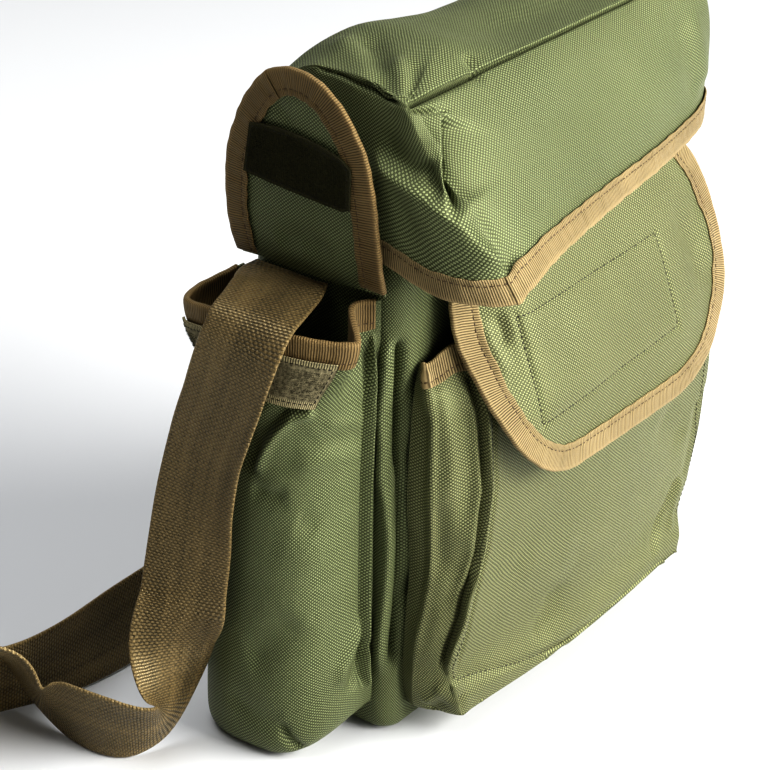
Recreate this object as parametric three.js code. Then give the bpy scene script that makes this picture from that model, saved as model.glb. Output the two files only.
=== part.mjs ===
// Radio pouch: an olive nylon shoulder bag that stands on its flat base.
// Millimetres, +Z up. X runs along the front face, the front faces -Y and the
// side pocket is on the -X side. The origin is the middle of the flat base.
import * as THREE from "three";

// ---------------------------------------------------------------- sizes ----
const BODY_HALF_W = 127; // half of the body's width, left to right
const BODY_HALF_D = 45.5; // half of the body's depth, front to back
const CLOTH = 1.4; // nylon with its coating and seam allowance
const TAPE = 0.8; // one leaf of the folded binding tape
const GAP = 0.35; // air kept between neighbouring pieces
const TAPE_GAP = 0.65; // air between a cloth and the tape folded round its edge
const BIND = 12.5; // a 25 mm tape folded over an edge shows half on each side
const HOOK_LOOP = 2.0; // hook or loop tape, with its backing
const STRAP_W = 44.5; // shoulder strap webbing, 1 3/4 inch
const STRAP_T = 2.0;
const FRONT = -BODY_HALF_D; // the body's front plane
const SIDE = -BODY_HALF_W; // the body's left plane

const COLOUR = {
  nylon: 0x6f7a4c,
  nylonDark: 0x56613a,
  binding: 0x8a6f48,
  webbing: 0x6b5631,
  hook: 0x3b3726,
  loop: 0x6d6d5c,
};

// ------------------------------------------------------ table functions ----
// A monotone cubic through (xs, ys): no overshoot between the rows.
function cubic(xs, ys) {
  const n = xs.length;
  const h = [];
  const s = [];
  for (let i = 0; i < n - 1; i++) {
    h.push(xs[i + 1] - xs[i]);
    s.push((ys[i + 1] - ys[i]) / h[i]);
  }
  const m = [s[0]];
  for (let i = 1; i < n - 1; i++) {
    if (s[i - 1] * s[i] <= 0) m.push(0);
    else {
      const a = 2 * h[i] + h[i - 1];
      const b = h[i] + 2 * h[i - 1];
      m.push((a + b) / (a / s[i - 1] + b / s[i]));
    }
  }
  m.push(s[n - 2]);
  return (x) => {
    let i = 0;
    while (i < n - 2 && x > xs[i + 1]) i++;
    const t = Math.min(1, Math.max(0, (x - xs[i]) / h[i]));
    const u = 1 - t;
    return (
      ys[i] * (1 + 2 * t) * u * u +
      h[i] * m[i] * t * u * u +
      ys[i + 1] * t * t * (3 - 2 * t) -
      h[i] * m[i + 1] * t * t * u
    );
  };
}

// Every column of a table as a function of its key column.
function columns(rows, key) {
  const xs = rows.map((r) => r[key]);
  const made = {};
  for (const name of Object.keys(rows[0]))
    if (name !== key && name !== "at")
      made[name] = cubic(
        xs,
        rows.map((r) => r[name]),
      );
  return made;
}

// A table that closes on itself: the key runs from 0 to 1 and wraps round.
function loopColumns(rows, key) {
  const before = rows.slice(-3).map((r) => ({ ...r, [key]: r[key] - 1 }));
  const after = rows.slice(0, 3).map((r) => ({ ...r, [key]: r[key] + 1 }));
  return columns([...before, ...rows, ...after], key);
}

const mix = (a, b, t) => a + (b - a) * t;
const step = (a, b, x) => {
  const t = Math.min(1, Math.max(0, (x - a) / (b - a)));
  return t * t * (3 - 2 * t);
};
const bump = (x, middle, half) => {
  const t = Math.abs(x - middle) / half;
  return t >= 1 ? 0 : 0.5 + 0.5 * Math.cos(Math.PI * t);
};
const V = (x, y, z) => new THREE.Vector3(x, y, z);

// ------------------------------------------------------- mesh functions ----
function geometry(points, triangles) {
  let volume = 0;
  for (const [a, b, c] of triangles)
    volume += points[a].dot(points[b].clone().cross(points[c]));
  const index = [];
  for (const [a, b, c] of triangles)
    volume > 0 ? index.push(a, b, c) : index.push(a, c, b);
  const made = new THREE.BufferGeometry();
  made.setAttribute(
    "position",
    new THREE.Float32BufferAttribute(
      points.flatMap((p) => [p.x, p.y, p.z]),
      3,
    ),
  );
  made.setIndex(index);
  made.computeVertexNormals();
  return made;
}

// A cloth wall: the outer face is face(u, v) on a grid, the inner face lies
// `wall` behind it, and rims close the free edges. `ring` joins u = 0 to u = 1,
// and `pole` closes v = 0 in one point. `turn` is -1 where u and v run so that
// their cross product points into the cloth, and `limit` trims the inner face.
function clothWall(
  face,
  us,
  vs,
  wall,
  { ring = false, pole = null, turn = 1, limit = (p) => p } = {},
) {
  const grid = vs.map((v) => us.map((u) => face(u, v)));
  const rows = grid.length;
  const cols = us.length;
  const normals = grid.map((row, i) =>
    row.map((p, j) => {
      const left = ring ? row[(j + cols - 1) % cols] : row[Math.max(0, j - 1)];
      const right = ring ? row[(j + 1) % cols] : row[Math.min(cols - 1, j + 1)];
      const below = i > 0 ? grid[i - 1][j] : pole ? pole.outer : p;
      const above = i < rows - 1 ? grid[i + 1][j] : p;
      return right.clone().sub(left).cross(above.clone().sub(below)).normalize();
    }),
  );
  const points = [];
  const add = (p) => points.push(p) - 1;
  const outer = grid.map((row) => row.map((p) => add(p.clone())));
  const inner = grid.map((row, i) =>
    row.map((p, j) => add(limit(p.clone().addScaledVector(normals[i][j], -wall * turn)))),
  );
  const triangles = [];
  const quad = (a, b, c, d) => triangles.push([a, b, c], [a, c, d]);
  const spans = ring ? cols : cols - 1;
  for (let i = 0; i < rows - 1; i++)
    for (let j = 0; j < spans; j++) {
      const k = (j + 1) % cols;
      quad(outer[i][j], outer[i][k], outer[i + 1][k], outer[i + 1][j]);
      quad(inner[i][k], inner[i][j], inner[i + 1][j], inner[i + 1][k]);
    }
  const top = rows - 1;
  for (let j = 0; j < spans; j++) {
    const k = (j + 1) % cols;
    quad(outer[top][j], outer[top][k], inner[top][k], inner[top][j]);
    if (!pole) quad(outer[0][k], outer[0][j], inner[0][j], inner[0][k]);
  }
  if (pole) {
    const o = add(pole.outer);
    const n = add(pole.inner);
    for (let j = 0; j < spans; j++) {
      const k = (j + 1) % cols;
      triangles.push([o, outer[0][k], outer[0][j]]);
      triangles.push([n, inner[0][j], inner[0][k]]);
    }
  }
  if (!ring)
    for (let i = 0; i < rows - 1; i++) {
      quad(outer[i + 1][0], inner[i + 1][0], inner[i][0], outer[i][0]);
      const e = cols - 1;
      quad(outer[i][e], inner[i][e], inner[i + 1][e], outer[i + 1][e]);
    }
  return geometry(points, triangles);
}

const even = (n, a = 0, b = 1) =>
  Array.from({ length: n + 1 }, (_, i) => mix(a, b, i / n));

// A closed section carried along stations: sections[i] is a ring of points.
function swept(sections, closed = false) {
  const sides = sections[0].length;
  const points = sections.flat();
  const triangles = [];
  const at = (i, j) => (i % sections.length) * sides + (j % sides);
  const last = closed ? sections.length : sections.length - 1;
  for (let i = 0; i < last; i++)
    for (let j = 0; j < sides; j++) {
      triangles.push([at(i, j), at(i, j + 1), at(i + 1, j + 1)]);
      triangles.push([at(i, j), at(i + 1, j + 1), at(i + 1, j)]);
    }
  if (!closed) {
    // Caps follow the folded section: strips between its two halves.
    const half = sides / 2;
    const e = sections.length - 1;
    for (let j = 0; j < half - 1; j++) {
      const a = j;
      const b = j + 1;
      const c = sides - 2 - j;
      const d = sides - 1 - j;
      triangles.push([at(0, a), at(0, c), at(0, b)]);
      triangles.push([at(0, a), at(0, d), at(0, c)]);
      triangles.push([at(e, a), at(e, b), at(e, c)]);
      triangles.push([at(e, a), at(e, c), at(e, d)]);
    }
  }
  return geometry(points, triangles);
}

// A folded tape round a cloth edge, on the cloth's own stations. edge(t, k) is
// the cloth's outer face and normal at share k of the tape's width from the
// edge. The first half of the section is the tape's outside, the second half
// its inside.
function foldedTape(edge, ts, limit = (p) => p) {
  const out = TAPE_GAP + TAPE;
  const back = -CLOTH - TAPE_GAP - TAPE;
  const section = [
    { at: "front_hem", k: 1, past: 0, off: out },
    { at: "front_edge", k: 0, past: 0, off: out },
    { at: "fold_front", k: 0, past: out, off: out * 0.4 },
    { at: "fold_back", k: 0, past: out, off: -CLOTH - out * 0.4 },
    { at: "back_edge", k: 0, past: 0, off: back },
    { at: "back_hem", k: 1, past: 0, off: back },
    { at: "inner_back_hem", k: 1, past: 0, off: -CLOTH - TAPE_GAP },
    { at: "inner_back_edge", k: 0, past: 0, off: -CLOTH - TAPE_GAP },
    { at: "inner_fold_back", k: 0, past: TAPE_GAP, off: -CLOTH - TAPE_GAP },
    { at: "inner_fold_front", k: 0, past: TAPE_GAP, off: TAPE_GAP },
    { at: "inner_front_edge", k: 0, past: 0, off: TAPE_GAP },
    { at: "inner_front_hem", k: 1, past: 0, off: TAPE_GAP },
  ];
  const sections = ts.map((t) => {
    const ends = [edge(t, 0), edge(t, 1)];
    const outward = ends[0].p.clone().sub(ends[1].p).normalize();
    return section.map(({ k, past, off }) =>
      limit(
        ends[k].p
          .clone()
          .addScaledVector(outward, past)
          .addScaledVector(ends[k].n, off),
      ),
    );
  });
  return swept(sections);
}

// The outward normal of face(u, v) by small steps.
function normalOf(face, u, v, du = 0.004, dv = 0.004, clampV = true) {
  const lo = (x, d) => Math.max(0, x - d);
  const hi = (x, d) => Math.min(1, x + d);
  const a = face(hi(u, du), v).sub(face(lo(u, du), v));
  const b = clampV
    ? face(u, hi(v, dv)).sub(face(u, lo(v, dv)))
    : face(u, v + dv).sub(face(u, v - dv));
  return a.cross(b).normalize();
}

// ----------------------------------------------------------------- body ----
// Rows climb from the flat base to the open mouth under the lid.
const BODY = [
  { v: 0.0, z: 0, halfW: 70, halfD: 22, corner: 10 },
  { v: 0.08, z: 0, halfW: 118, halfD: 36.5, corner: 9 },
  { v: 0.14, z: 1.6, halfW: 123.5, halfD: 42.4, corner: 10 },
  { v: 0.2, z: 6, halfW: 126.4, halfD: 45.2, corner: 11 },
  { v: 0.26, z: 14, halfW: BODY_HALF_W, halfD: BODY_HALF_D, corner: 11 },
  { v: 0.4, z: 70, halfW: BODY_HALF_W, halfD: BODY_HALF_D, corner: 11 },
  { v: 0.55, z: 140, halfW: BODY_HALF_W, halfD: BODY_HALF_D, corner: 11 },
  { v: 0.7, z: 205, halfW: BODY_HALF_W, halfD: BODY_HALF_D, corner: 12 },
  { v: 0.8, z: 244, halfW: 126.4, halfD: BODY_HALF_D, corner: 13 },
  { v: 0.88, z: 268, halfW: 121, halfD: 44.6, corner: 14 },
  { v: 0.94, z: 292, halfW: 117, halfD: 42.5, corner: 15 },
  { v: 1.0, z: 314, halfW: 114, halfD: 40, corner: 16 },
];
const bodyAt = columns(BODY, "v");

// A rounded rectangle walked once round for u = 0..1, from the front's middle.
const SPANS = { side: 0.3, corner: 0.05, end: 0.1 };
function roundedRectangle(u, halfW, halfD, r) {
  const quarter = Math.floor(u * 4) % 4;
  let t = (u * 4 - Math.floor(u * 4)) / 4;
  const flip = quarter % 2 === 1;
  if (flip) t = 0.25 - t;
  const half = { front: SPANS.side / 2, corner: SPANS.corner };
  let x;
  let y;
  if (t <= half.front) {
    x = (t / half.front) * (halfW - r);
    y = -halfD;
  } else if (t <= half.front + half.corner) {
    const a = ((t - half.front) / half.corner) * (Math.PI / 2);
    x = halfW - r + r * Math.sin(a);
    y = -halfD + r - r * Math.cos(a);
  } else {
    const k = (t - half.front - half.corner) / (SPANS.end / 2);
    x = halfW;
    y = mix(-halfD + r, 0, k);
  }
  if (quarter === 1 || quarter === 2) y = -y;
  if (quarter >= 2) x = -x;
  return [x, y];
}

function bodyFace(u, v) {
  const [x, y] = roundedRectangle(u, bodyAt.halfW(v), bodyAt.halfD(v), bodyAt.corner(v));
  return V(x, y, bodyAt.z(v));
}
const quarterUs = [0, 0.075, 0.15, 0.167, 0.184, 0.2];
const bodyUs = [];
for (let q = 0; q < 4; q++)
  for (const t of quarterUs)
    bodyUs.push(q / 4 + (q % 2 === 0 ? t : 0.25 - t));
bodyUs.sort((a, b) => a - b);
const bodyU = bodyUs.filter((u, i) => u < 1 && (i === 0 || u - bodyUs[i - 1] > 1e-6));
const body = clothWall(
  bodyFace,
  bodyU,
  BODY.map((r) => r.v),
  CLOTH,
  { ring: true, pole: { outer: V(9, 4, 0), inner: V(9, 4, CLOTH) } },
);

// ------------------------------------------------------------------ lid ----
// Stations round the lid: the seam of the top panel, and the skirt's free edge.
const LID = [
  { at: "back_left", u: 0.0, sx: -114, sy: 43, sz: 327, ex: -116, ey: 47.5, ez: 313, puff: 0 },
  { at: "left_back", u: 0.05, sx: -120, sy: 35, sz: 335, ex: -126.5, ey: 39, ez: 282, puff: 0 },
  { at: "left_middle", u: 0.11, sx: -120.5, sy: 6, sz: 350, ex: -128, ey: 10, ez: 270, puff: 1 },
  { at: "left_front", u: 0.18, sx: -121, sy: -22, sz: 350, ex: -128.2, ey: -34, ez: 266, puff: 2 },
  { at: "corner_side", u: 0.22, sx: -122.5, sy: -38, sz: 346, ex: -127.5, ey: -70, ez: 257, puff: 3 },
  { at: "corner", u: 0.25, sx: -122, sy: -44, sz: 344, ex: -121, ey: -91, ez: 258, puff: 4 },
  { at: "corner_front", u: 0.28, sx: -116, sy: -45, sz: 344, ex: -108, ey: -99.5, ez: 263, puff: 4 },
  { at: "front_left", u: 0.34, sx: -80, sy: -45, sz: 344, ex: -70, ey: -98, ez: 267, puff: 5 },
  { at: "front_middle", u: 0.42, sx: -20, sy: -45, sz: 344, ex: -24, ey: -90.5, ez: 268, puff: 6 },
  { at: "front_right", u: 0.5, sx: 45, sy: -45, sz: 344, ex: 48, ey: -80, ez: 268, puff: 7 },
  { at: "right_fold", u: 0.57, sx: 106, sy: -45, sz: 344, ex: 110, ey: -66, ez: 269, puff: 7 },
  { at: "right_corner", u: 0.61, sx: 128, sy: -44, sz: 344, ex: 127, ey: -54, ez: 271, puff: 8 },
  { at: "right_front", u: 0.65, sx: 129, sy: -32, sz: 346, ex: 129.5, ey: -36, ez: 273, puff: 6 },
  { at: "right_middle", u: 0.74, sx: 123, sy: 6, sz: 349, ex: 128, ey: 8, ez: 274, puff: 2 },
  { at: "right_back", u: 0.82, sx: 120, sy: 35, sz: 335, ex: 126.5, ey: 39, ez: 282, puff: 0 },
  { at: "back_right", u: 0.87, sx: 114, sy: 43, sz: 327, ex: 116, ey: 47.5, ez: 313, puff: 0 },
  { at: "back_middle", u: 0.94, sx: 0, sy: 44, sz: 326, ex: 0, ey: 48.5, ez: 312, puff: 0 },
];
const LID_TOP = { x: 0, y: -2 };
// The top panel's crown along the bag: full at the ends, sunk in the middle.
const LID_CROWN = [
  { x: -122, z: 352, flat: 3.4 },
  { x: -95, z: 356.5, flat: 3.6 },
  { x: -75, z: 356.5, flat: 3.4 },
  { x: -45, z: 352, flat: 2.8 },
  { x: -5, z: 347, flat: 2.2 },
  { x: 60, z: 346, flat: 2.2 },
  { x: 95, z: 350, flat: 3 },
  { x: 122, z: 348, flat: 3.4 },
];
const crownAt = columns(LID_CROWN, "x");
// Folds pressed into the skirt: place along the edge, width, reach down, depth.
const LID_FOLDS = [
  { at: "corner_hollow", u: 0.268, half: 0.018, from: 0.12, to: 0.72, depth: 9 },
  { at: "side_hollow", u: 0.212, half: 0.02, from: 0.35, to: 0.9, depth: 3 },
];
const lidAt = loopColumns(LID, "u");

function lidFace(u, v) {
  // v from 0 at the crown to 1 at the free edge; the seam lies at SEAM_V.
  const seam = V(lidAt.sx(u), lidAt.sy(u), lidAt.sz(u));
  if (v <= SEAM_V) {
    const s = v / SEAM_V;
    const x = mix(LID_TOP.x, seam.x, s);
    const crown = Math.max(crownAt.z(x), seam.z);
    return V(
      x,
      mix(LID_TOP.y, seam.y, s),
      seam.z + (crown - seam.z) * (1 - Math.pow(s, crownAt.flat(x))),
    );
  }
  const k = (v - SEAM_V) / (1 - SEAM_V);
  const edge = V(lidAt.ex(u), lidAt.ey(u), lidAt.ez(u));
  const p = seam.clone().lerp(edge, k);
  const away = V(p.x * 0.25, p.y + 4, 0).normalize();
  let push = lidAt.puff(u) * Math.sin(Math.PI * Math.pow(k, 0.7));
  for (const f of LID_FOLDS)
    push -= f.depth * bump(u, f.u, f.half) * bump(k, (f.from + f.to) / 2, (f.to - f.from) / 2);
  return p.addScaledVector(away, push);
}
const SEAM_V = 0.4;
const lidU = [];
for (const [i, r] of LID.entries()) {
  const next = i + 1 < LID.length ? LID[i + 1].u : 1;
  const parts = r.at === "corner" || r.at === "corner_side" ? 4 : 2;
  for (let k = 0; k < parts; k++) lidU.push(mix(r.u, next, k / parts));
}
const LID_HEM_V = 0.922; // the skirt's row where the binding's hem lies
const lidV = [0.12, 0.25, 0.35, SEAM_V, 0.43, 0.51, 0.62, 0.75, LID_HEM_V, 1];
const lid = clothWall(lidFace, lidU, lidV, CLOTH, {
  ring: true,
  turn: -1,
  pole: {
    outer: V(LID_TOP.x, LID_TOP.y, crownAt.z(LID_TOP.x)),
    inner: V(LID_TOP.x, LID_TOP.y, crownAt.z(LID_TOP.x) - CLOTH),
  },
});

// The binding follows the free edge from the back left, round the front, to the
// back right.
const LID_BOUND = { from: 0.05, to: 0.82 };
const lidBoundU = lidU.filter((u) => u >= LID_BOUND.from && u <= LID_BOUND.to);
function lidEdge(u, k) {
  const v = mix(1, LID_HEM_V, k);
  return { p: lidFace(u, v), n: normalOf(lidFace, u, v, 0.006, 0.02).negate() };
}

// --------------------------------------------------------- front pocket ----
// Rows climb from the underside seam, round the bottom, to the bound mouth.
const FRONT_POCKET = [
  { v: 0.0, z: 14.5, depth: 0.8, left: -101, right: 103, edgeL: -102, outL: 0.24, seamR: 104, bulge: 0, pleat: 0, crown: 0.4 },
  { v: 0.05, z: 13, depth: 15, left: -102, right: 104, edgeL: -106, outL: 0.2, seamR: 105, bulge: 0, pleat: 0, crown: 3 },
  { v: 0.1, z: 13.5, depth: 28.5, left: -103, right: 105, edgeL: -111, outL: 0.17, seamR: 106, bulge: 0, pleat: 0, crown: 5 },
  { v: 0.15, z: 21, depth: 28.5, left: -105, right: 107, edgeL: -115.5, outL: 0.21, seamR: 106, bulge: 1, pleat: 1, crown: 6 },
  { v: 0.21, z: 37, depth: 23.5, left: -107, right: 112, edgeL: -117.8, outL: 0.31, seamR: 106, bulge: 1, pleat: 2, crown: 9 },
  { v: 0.3, z: 60, depth: 28, left: -105, right: 115, edgeL: -117, outL: 0.36, seamR: 106, bulge: 2, pleat: 3, crown: 7 },
  { v: 0.42, z: 95, depth: 32, left: -101.5, right: 115, edgeL: -114, outL: 0.43, seamR: 105, bulge: 4, pleat: 4, crown: 5 },
  { v: 0.58, z: 138, depth: 34, left: -97, right: 115, edgeL: -117, outL: 0.455, seamR: 104, bulge: 5, pleat: 4, crown: 4 },
  { v: 0.74, z: 175, depth: 32.5, left: -93, right: 109, edgeL: -116, outL: 0.455, seamR: 103, bulge: 5, pleat: 4, crown: 3.5 },
  { v: 0.86, z: 191, depth: 26.5, left: -91, right: 103, edgeL: -114.6, outL: 0.465, seamR: 101, bulge: 6, pleat: 4, crown: 5 },
  { v: 0.93, z: 203, depth: 18, left: -89.5, right: 97.5, edgeL: -113, outL: 0.46, seamR: 99.5, bulge: 6, pleat: 4, crown: 8 },
  { v: 1.0, z: 214.5, depth: 11.5, left: -89, right: 96, edgeL: -110, outL: 0.375, seamR: 99.5, bulge: 6, pleat: 4, crown: 10 },
];
const pocketAt = columns(FRONT_POCKET, "v");
// Stations across a row: how far out from the body (share of the depth), which
// edge they belong to, and how the pleat and bulge shift them. The left gusset
// stands out to a bellows edge, and its face reaches from there to the panel.
const ACROSS = [
  { u: 0.0, out: 0, side: -1, of: "bellows", reach: 0, crown: 0, inset: 2 },
  { u: 0.055, out: 1, side: -1, of: "bellows", reach: 0, crown: 0, inset: 0 },
  { u: 0.12, out: 1, side: -1, of: "bellows", reach: 0.5, crown: 0, inset: 0 },
  { u: 0.18, out: 1, side: -1, of: "edge", pleat: 0, bulge: 0, crown: 0, inset: 0 },
  { u: 0.23, out: 1, side: -1, of: "edge", pleat: 0, bulge: 0, crown: 0.1, inset: 9 },
  { u: 0.5, out: 1, side: 0, of: "middle", pleat: 0, bulge: 0, crown: 1, inset: 0 },
  { u: 0.77, out: 1, side: 1, of: "edge", pleat: 0, bulge: 0, crown: 0.1, inset: 9 },
  { u: 0.82, out: 1, side: 1, of: "edge", pleat: 0, bulge: 0, crown: 0, inset: 0 },
  { u: 0.88, out: 0.62, side: 1, of: "edge", pleat: 0, bulge: 1, crown: 0, inset: 0 },
  { u: 0.945, out: 0.24, side: 1, of: "seam", pleat: 1, bulge: 0, crown: 0, inset: 0 },
  { u: 1.0, out: 0, side: 1, of: "seam", pleat: 0, bulge: 0, crown: 0, inset: 0 },
];
// Keeps a point in front of the body's front plane.
function clearOfFront(p) {
  p.y = Math.min(p.y, FRONT - GAP);
  return p;
}
const frontPocketRow = new Map();
function frontPocketFace(u, v) {
  const key = v.toFixed(5);
  if (!frontPocketRow.has(key)) {
    const r = {};
    for (const name of Object.keys(pocketAt)) r[name] = pocketAt[name](v);
    const xs = ACROSS.map((a) => {
      if (a.of === "middle") return (r.left + r.right) / 2;
      if (a.of === "bellows") return mix(r.edgeL, r.left, a.reach) + a.inset;
      const edge = a.of === "seam" ? r.seamR : a.side < 0 ? r.left : r.right;
      return edge - a.side * (a.inset + a.pleat * r.pleat - a.bulge * r.bulge);
    });
    const ys = ACROSS.map((a) => {
      const out = a.of === "bellows" ? a.out * mix(r.outL, 1, a.reach) : a.out;
      return FRONT - GAP - out * r.depth - a.crown * r.crown;
    });
    const us = ACROSS.map((a) => a.u);
    frontPocketRow.set(key, { x: cubic(us, xs), y: cubic(us, ys), z: r.z });
  }
  const row = frontPocketRow.get(key);
  return V(row.x(u), row.y(u), row.z);
}
const pocketU = [];
for (let i = 0; i < ACROSS.length - 1; i++) {
  const parts = ACROSS[i].of === "middle" || ACROSS[i + 1].of === "middle" ? 4 : 2;
  for (let k = 0; k < parts; k++) pocketU.push(mix(ACROSS[i].u, ACROSS[i + 1].u, k / parts));
}
pocketU.push(1);
const frontPocket = clothWall(
  frontPocketFace,
  pocketU,
  FRONT_POCKET.map((r) => r.v),
  CLOTH,
  { limit: clearOfFront },
);
const MOUTH_HEM_V = 0.93; // the row where the mouth binding's hem lies
const mouthU = pocketU.slice(1, -1);
function frontMouthEdge(u, k) {
  const v = mix(1, MOUTH_HEM_V, k);
  return { p: frontPocketFace(u, v), n: normalOf(frontPocketFace, u, v, 0.012, 0.02) };
}

// ----------------------------------------------------------- front flap ----
// The flap hangs from the body's front, under the lid, over the pocket.
const FLAP_HANG = [
  { z: 134, y: -99.5, fall: 0, curl: 4 },
  { z: 150, y: -98.5, fall: 1, curl: 5 },
  { z: 177, y: -94.5, fall: 7, curl: 7 },
  { z: 200, y: -87.5, fall: 15, curl: 8 },
  { z: 217, y: -81, fall: 21, curl: 8 },
  { z: 232, y: -74, fall: 19, curl: 6 },
  { z: 250, y: -65, fall: 10, curl: 4 },
  { z: 262, y: -57, fall: 4, curl: 2 },
  { z: 272, y: -48.5, fall: 0, curl: 0 },
];
const flapAt = columns(FLAP_HANG, "z");
const FLAP_LEFT_FALL = { from: -58, to: -104 };
const FLAP_RIGHT_CURL = { from: 52, to: 124 };
const FLAP_TOP = 272;
// The outline from the bottom's middle up both sides.
const FLAP_OUTLINE = [
  { z: 143.5, left: -46, right: 46 },
  { z: 145.5, left: -58, right: 60 },
  { z: 150, left: -69, right: 75 },
  { z: 157, left: -79, right: 88 },
  { z: 166, left: -87, right: 98 },
  { z: 178, left: -93, right: 109 },
  { z: 196, left: -97, right: 116.5 },
  { z: 218, left: -97.5, right: 118.5 },
  { z: 242, left: -96, right: 113.5 },
  { z: FLAP_TOP, left: -92, right: 94 },
];
function flapPoint(x, z) {
  const left = step(FLAP_LEFT_FALL.from, FLAP_LEFT_FALL.to, x);
  const right = step(FLAP_RIGHT_CURL.from, FLAP_RIGHT_CURL.to, x);
  return V(x, flapAt.y(z) + flapAt.fall(z) * left + flapAt.curl(z) * right, z);
}
// An outline walked by its length: a and b are the sheet's own coordinates.
function outlineWalk(path) {
  const along = [0];
  for (let i = 1; i < path.length; i++)
    along.push(along[i - 1] + Math.hypot(path[i][0] - path[i - 1][0], path[i][1] - path[i - 1][1]));
  const total = along[along.length - 1];
  const ts = along.map((s) => s / total);
  const a = cubic(ts, path.map((p) => p[0]));
  const b = cubic(ts, path.map((p) => p[1]));
  // The outline at t, moved `inside` into the sheet.
  return (t, inside = 0) => {
    const e = 0.006;
    const t0 = Math.max(0, t - e);
    const t1 = Math.min(1, t + e);
    const da = a(t1) - a(t0);
    const db = b(t1) - b(t0);
    const l = Math.hypot(da, db);
    return [a(t) - (db * inside) / l, b(t) + (da * inside) / l];
  };
}
// A sheet fanned from a straight line of its sewn edge (core) to its outline,
// with a ring where the binding's hem lies.
const HEM_W = 0.82;
function fanSheet(walk, core, point) {
  return (t, w) => {
    const hem = walk(t, BIND);
    if (w >= HEM_W) {
      const rim = walk(t);
      const k = (w - HEM_W) / (1 - HEM_W);
      return point(mix(hem[0], rim[0], k), mix(hem[1], rim[1], k));
    }
    const start = core(t);
    return point(mix(start[0], hem[0], w / HEM_W), mix(start[1], hem[1], w / HEM_W));
  };
}
// The same sheet's edge for its folded tape.
function fanEdge(walk, point, away) {
  return (t, k) => {
    const [a, b] = walk(t, BIND * k);
    const h = 0.8;
    const n = point(a + h, b)
      .sub(point(a - h, b))
      .cross(point(a, b + h).sub(point(a, b - h)))
      .normalize();
    if (n.dot(away) < 0) n.negate();
    return { p: point(a, b), n };
  };
}
const SHEET_WS = [0, 0.2, 0.4, 0.55, 0.7, HEM_W, 1];
const flapWalk = outlineWalk([
  ...FLAP_OUTLINE.slice().reverse().map((r) => [r.left, r.z]),
  [0, 143],
  ...FLAP_OUTLINE.map((r) => [r.right, r.z]),
]);
const flapTs = even(32);
const frontFlap = clothWall(
  fanSheet(flapWalk, (t) => [mix(-40, 40, t), FLAP_TOP], flapPoint),
  flapTs,
  SHEET_WS,
  CLOTH,
  { turn: -1 },
);
const flapEdge = fanEdge(flapWalk, flapPoint, V(0, -1, 0));

// ---------------------------------------------------------- side pocket ----
// Round sections climb from the underside; the mouth's folded shape joins them.
const SIDE_POCKET = [
  { v: 0.0, z: 20, out: 0.7, front: -28, back: 36, square: 2.6 },
  { v: 0.05, z: 10, out: 16, front: -31, back: 41, square: 2.6 },
  { v: 0.1, z: 3, out: 30, front: -33, back: 43, square: 2.6 },
  { v: 0.15, z: 0.4, out: 43, front: -34, back: 47, square: 2.6 },
  { v: 0.2, z: 3.5, out: 50.5, front: -35, back: 48.5, square: 2.6 },
  { v: 0.26, z: 13, out: 53, front: -35.5, back: 49, square: 2.6 },
  { v: 0.35, z: 40, out: 53.5, front: -34, back: 48, square: 2.6 },
  { v: 0.48, z: 85, out: 52, front: -33.5, back: 46, square: 2.6 },
  { v: 0.62, z: 130, out: 51, front: -33.5, back: 46, square: 2.6 },
  { v: 0.76, z: 175, out: 49, front: -34, back: 46, square: 2.6 },
  { v: 0.86, z: 205, out: 47, front: -35, back: 46, square: 2.6 },
  { v: 0.95, z: 226.5, out: 46, front: -36, back: 46, square: 2.6 },
  { v: 1.0, z: 240, out: 45, front: -37, back: 46, square: 2.6 },
];
const sideAt = columns(SIDE_POCKET, "v");
const SIDE_MOUTH = [
  { at: "front_seam", u: 0.0, x: -127.6, y: -37, rim: 5 },
  { at: "pleat", u: 0.1, x: -138, y: -28.5, rim: 3 },
  { at: "fold", u: 0.21, x: -151, y: -41, rim: -8 },
  { at: "tape_end", u: 0.31, x: -161.5, y: -29, rim: -7 },
  { at: "face_front", u: 0.44, x: -170, y: -6, rim: -5 },
  { at: "face_back", u: 0.6, x: -175, y: 24, rim: -1.5 },
  { at: "back_corner", u: 0.75, x: -171, y: 47, rim: -4 },
  { at: "back", u: 0.87, x: -154, y: 53, rim: -4 },
  { at: "back_seam", u: 1.0, x: -127.6, y: 47, rim: 0 },
];
const mouthAt = columns(SIDE_MOUTH, "u");
// The pocket's bottom is lifted towards its front seam.
const SIDE_LIFT = { u: 0.42, by: 18, z: 60 };
const MOUTH_FROM_V = 0.8;
// Keeps a point outside the body's left plane.
function clearOfSide(p) {
  p.x = Math.min(p.x, SIDE - GAP);
  return p;
}
function sidePocketFace(u, v) {
  const front = sideAt.front(v);
  const back = sideAt.back(v);
  const power = 2 / sideAt.square(v);
  const a = Math.PI * u;
  const c = Math.cos(a);
  const round = V(
    SIDE - GAP - 0.25 - sideAt.out(v) * Math.pow(Math.max(0, Math.sin(a)), power),
    (front + back) / 2 - ((back - front) / 2) * Math.sign(c) * Math.pow(Math.abs(c), power),
    sideAt.z(v) + SIDE_LIFT.by * (1 - step(0, SIDE_LIFT.u, u)) * (1 - step(0, SIDE_LIFT.z, sideAt.z(v))),
  );
  const w = step(MOUTH_FROM_V, 1, v);
  const mouth = V(mouthAt.x(u), mouthAt.y(u), sideAt.z(v) + mouthAt.rim(u));
  return round.lerp(mouth, w);
}
const sideU = [0, 0.035, 0.07, 0.1, 0.13, 0.17, 0.21, 0.25, 0.3, 0.37, 0.44, 0.52, 0.6, 0.68, 0.75, 0.82, 0.88, 0.93, 0.97, 1];
const sidePocket = clothWall(
  sidePocketFace,
  sideU,
  SIDE_POCKET.map((r) => r.v),
  CLOTH,
  { turn: -1, limit: clearOfSide },
);
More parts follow.
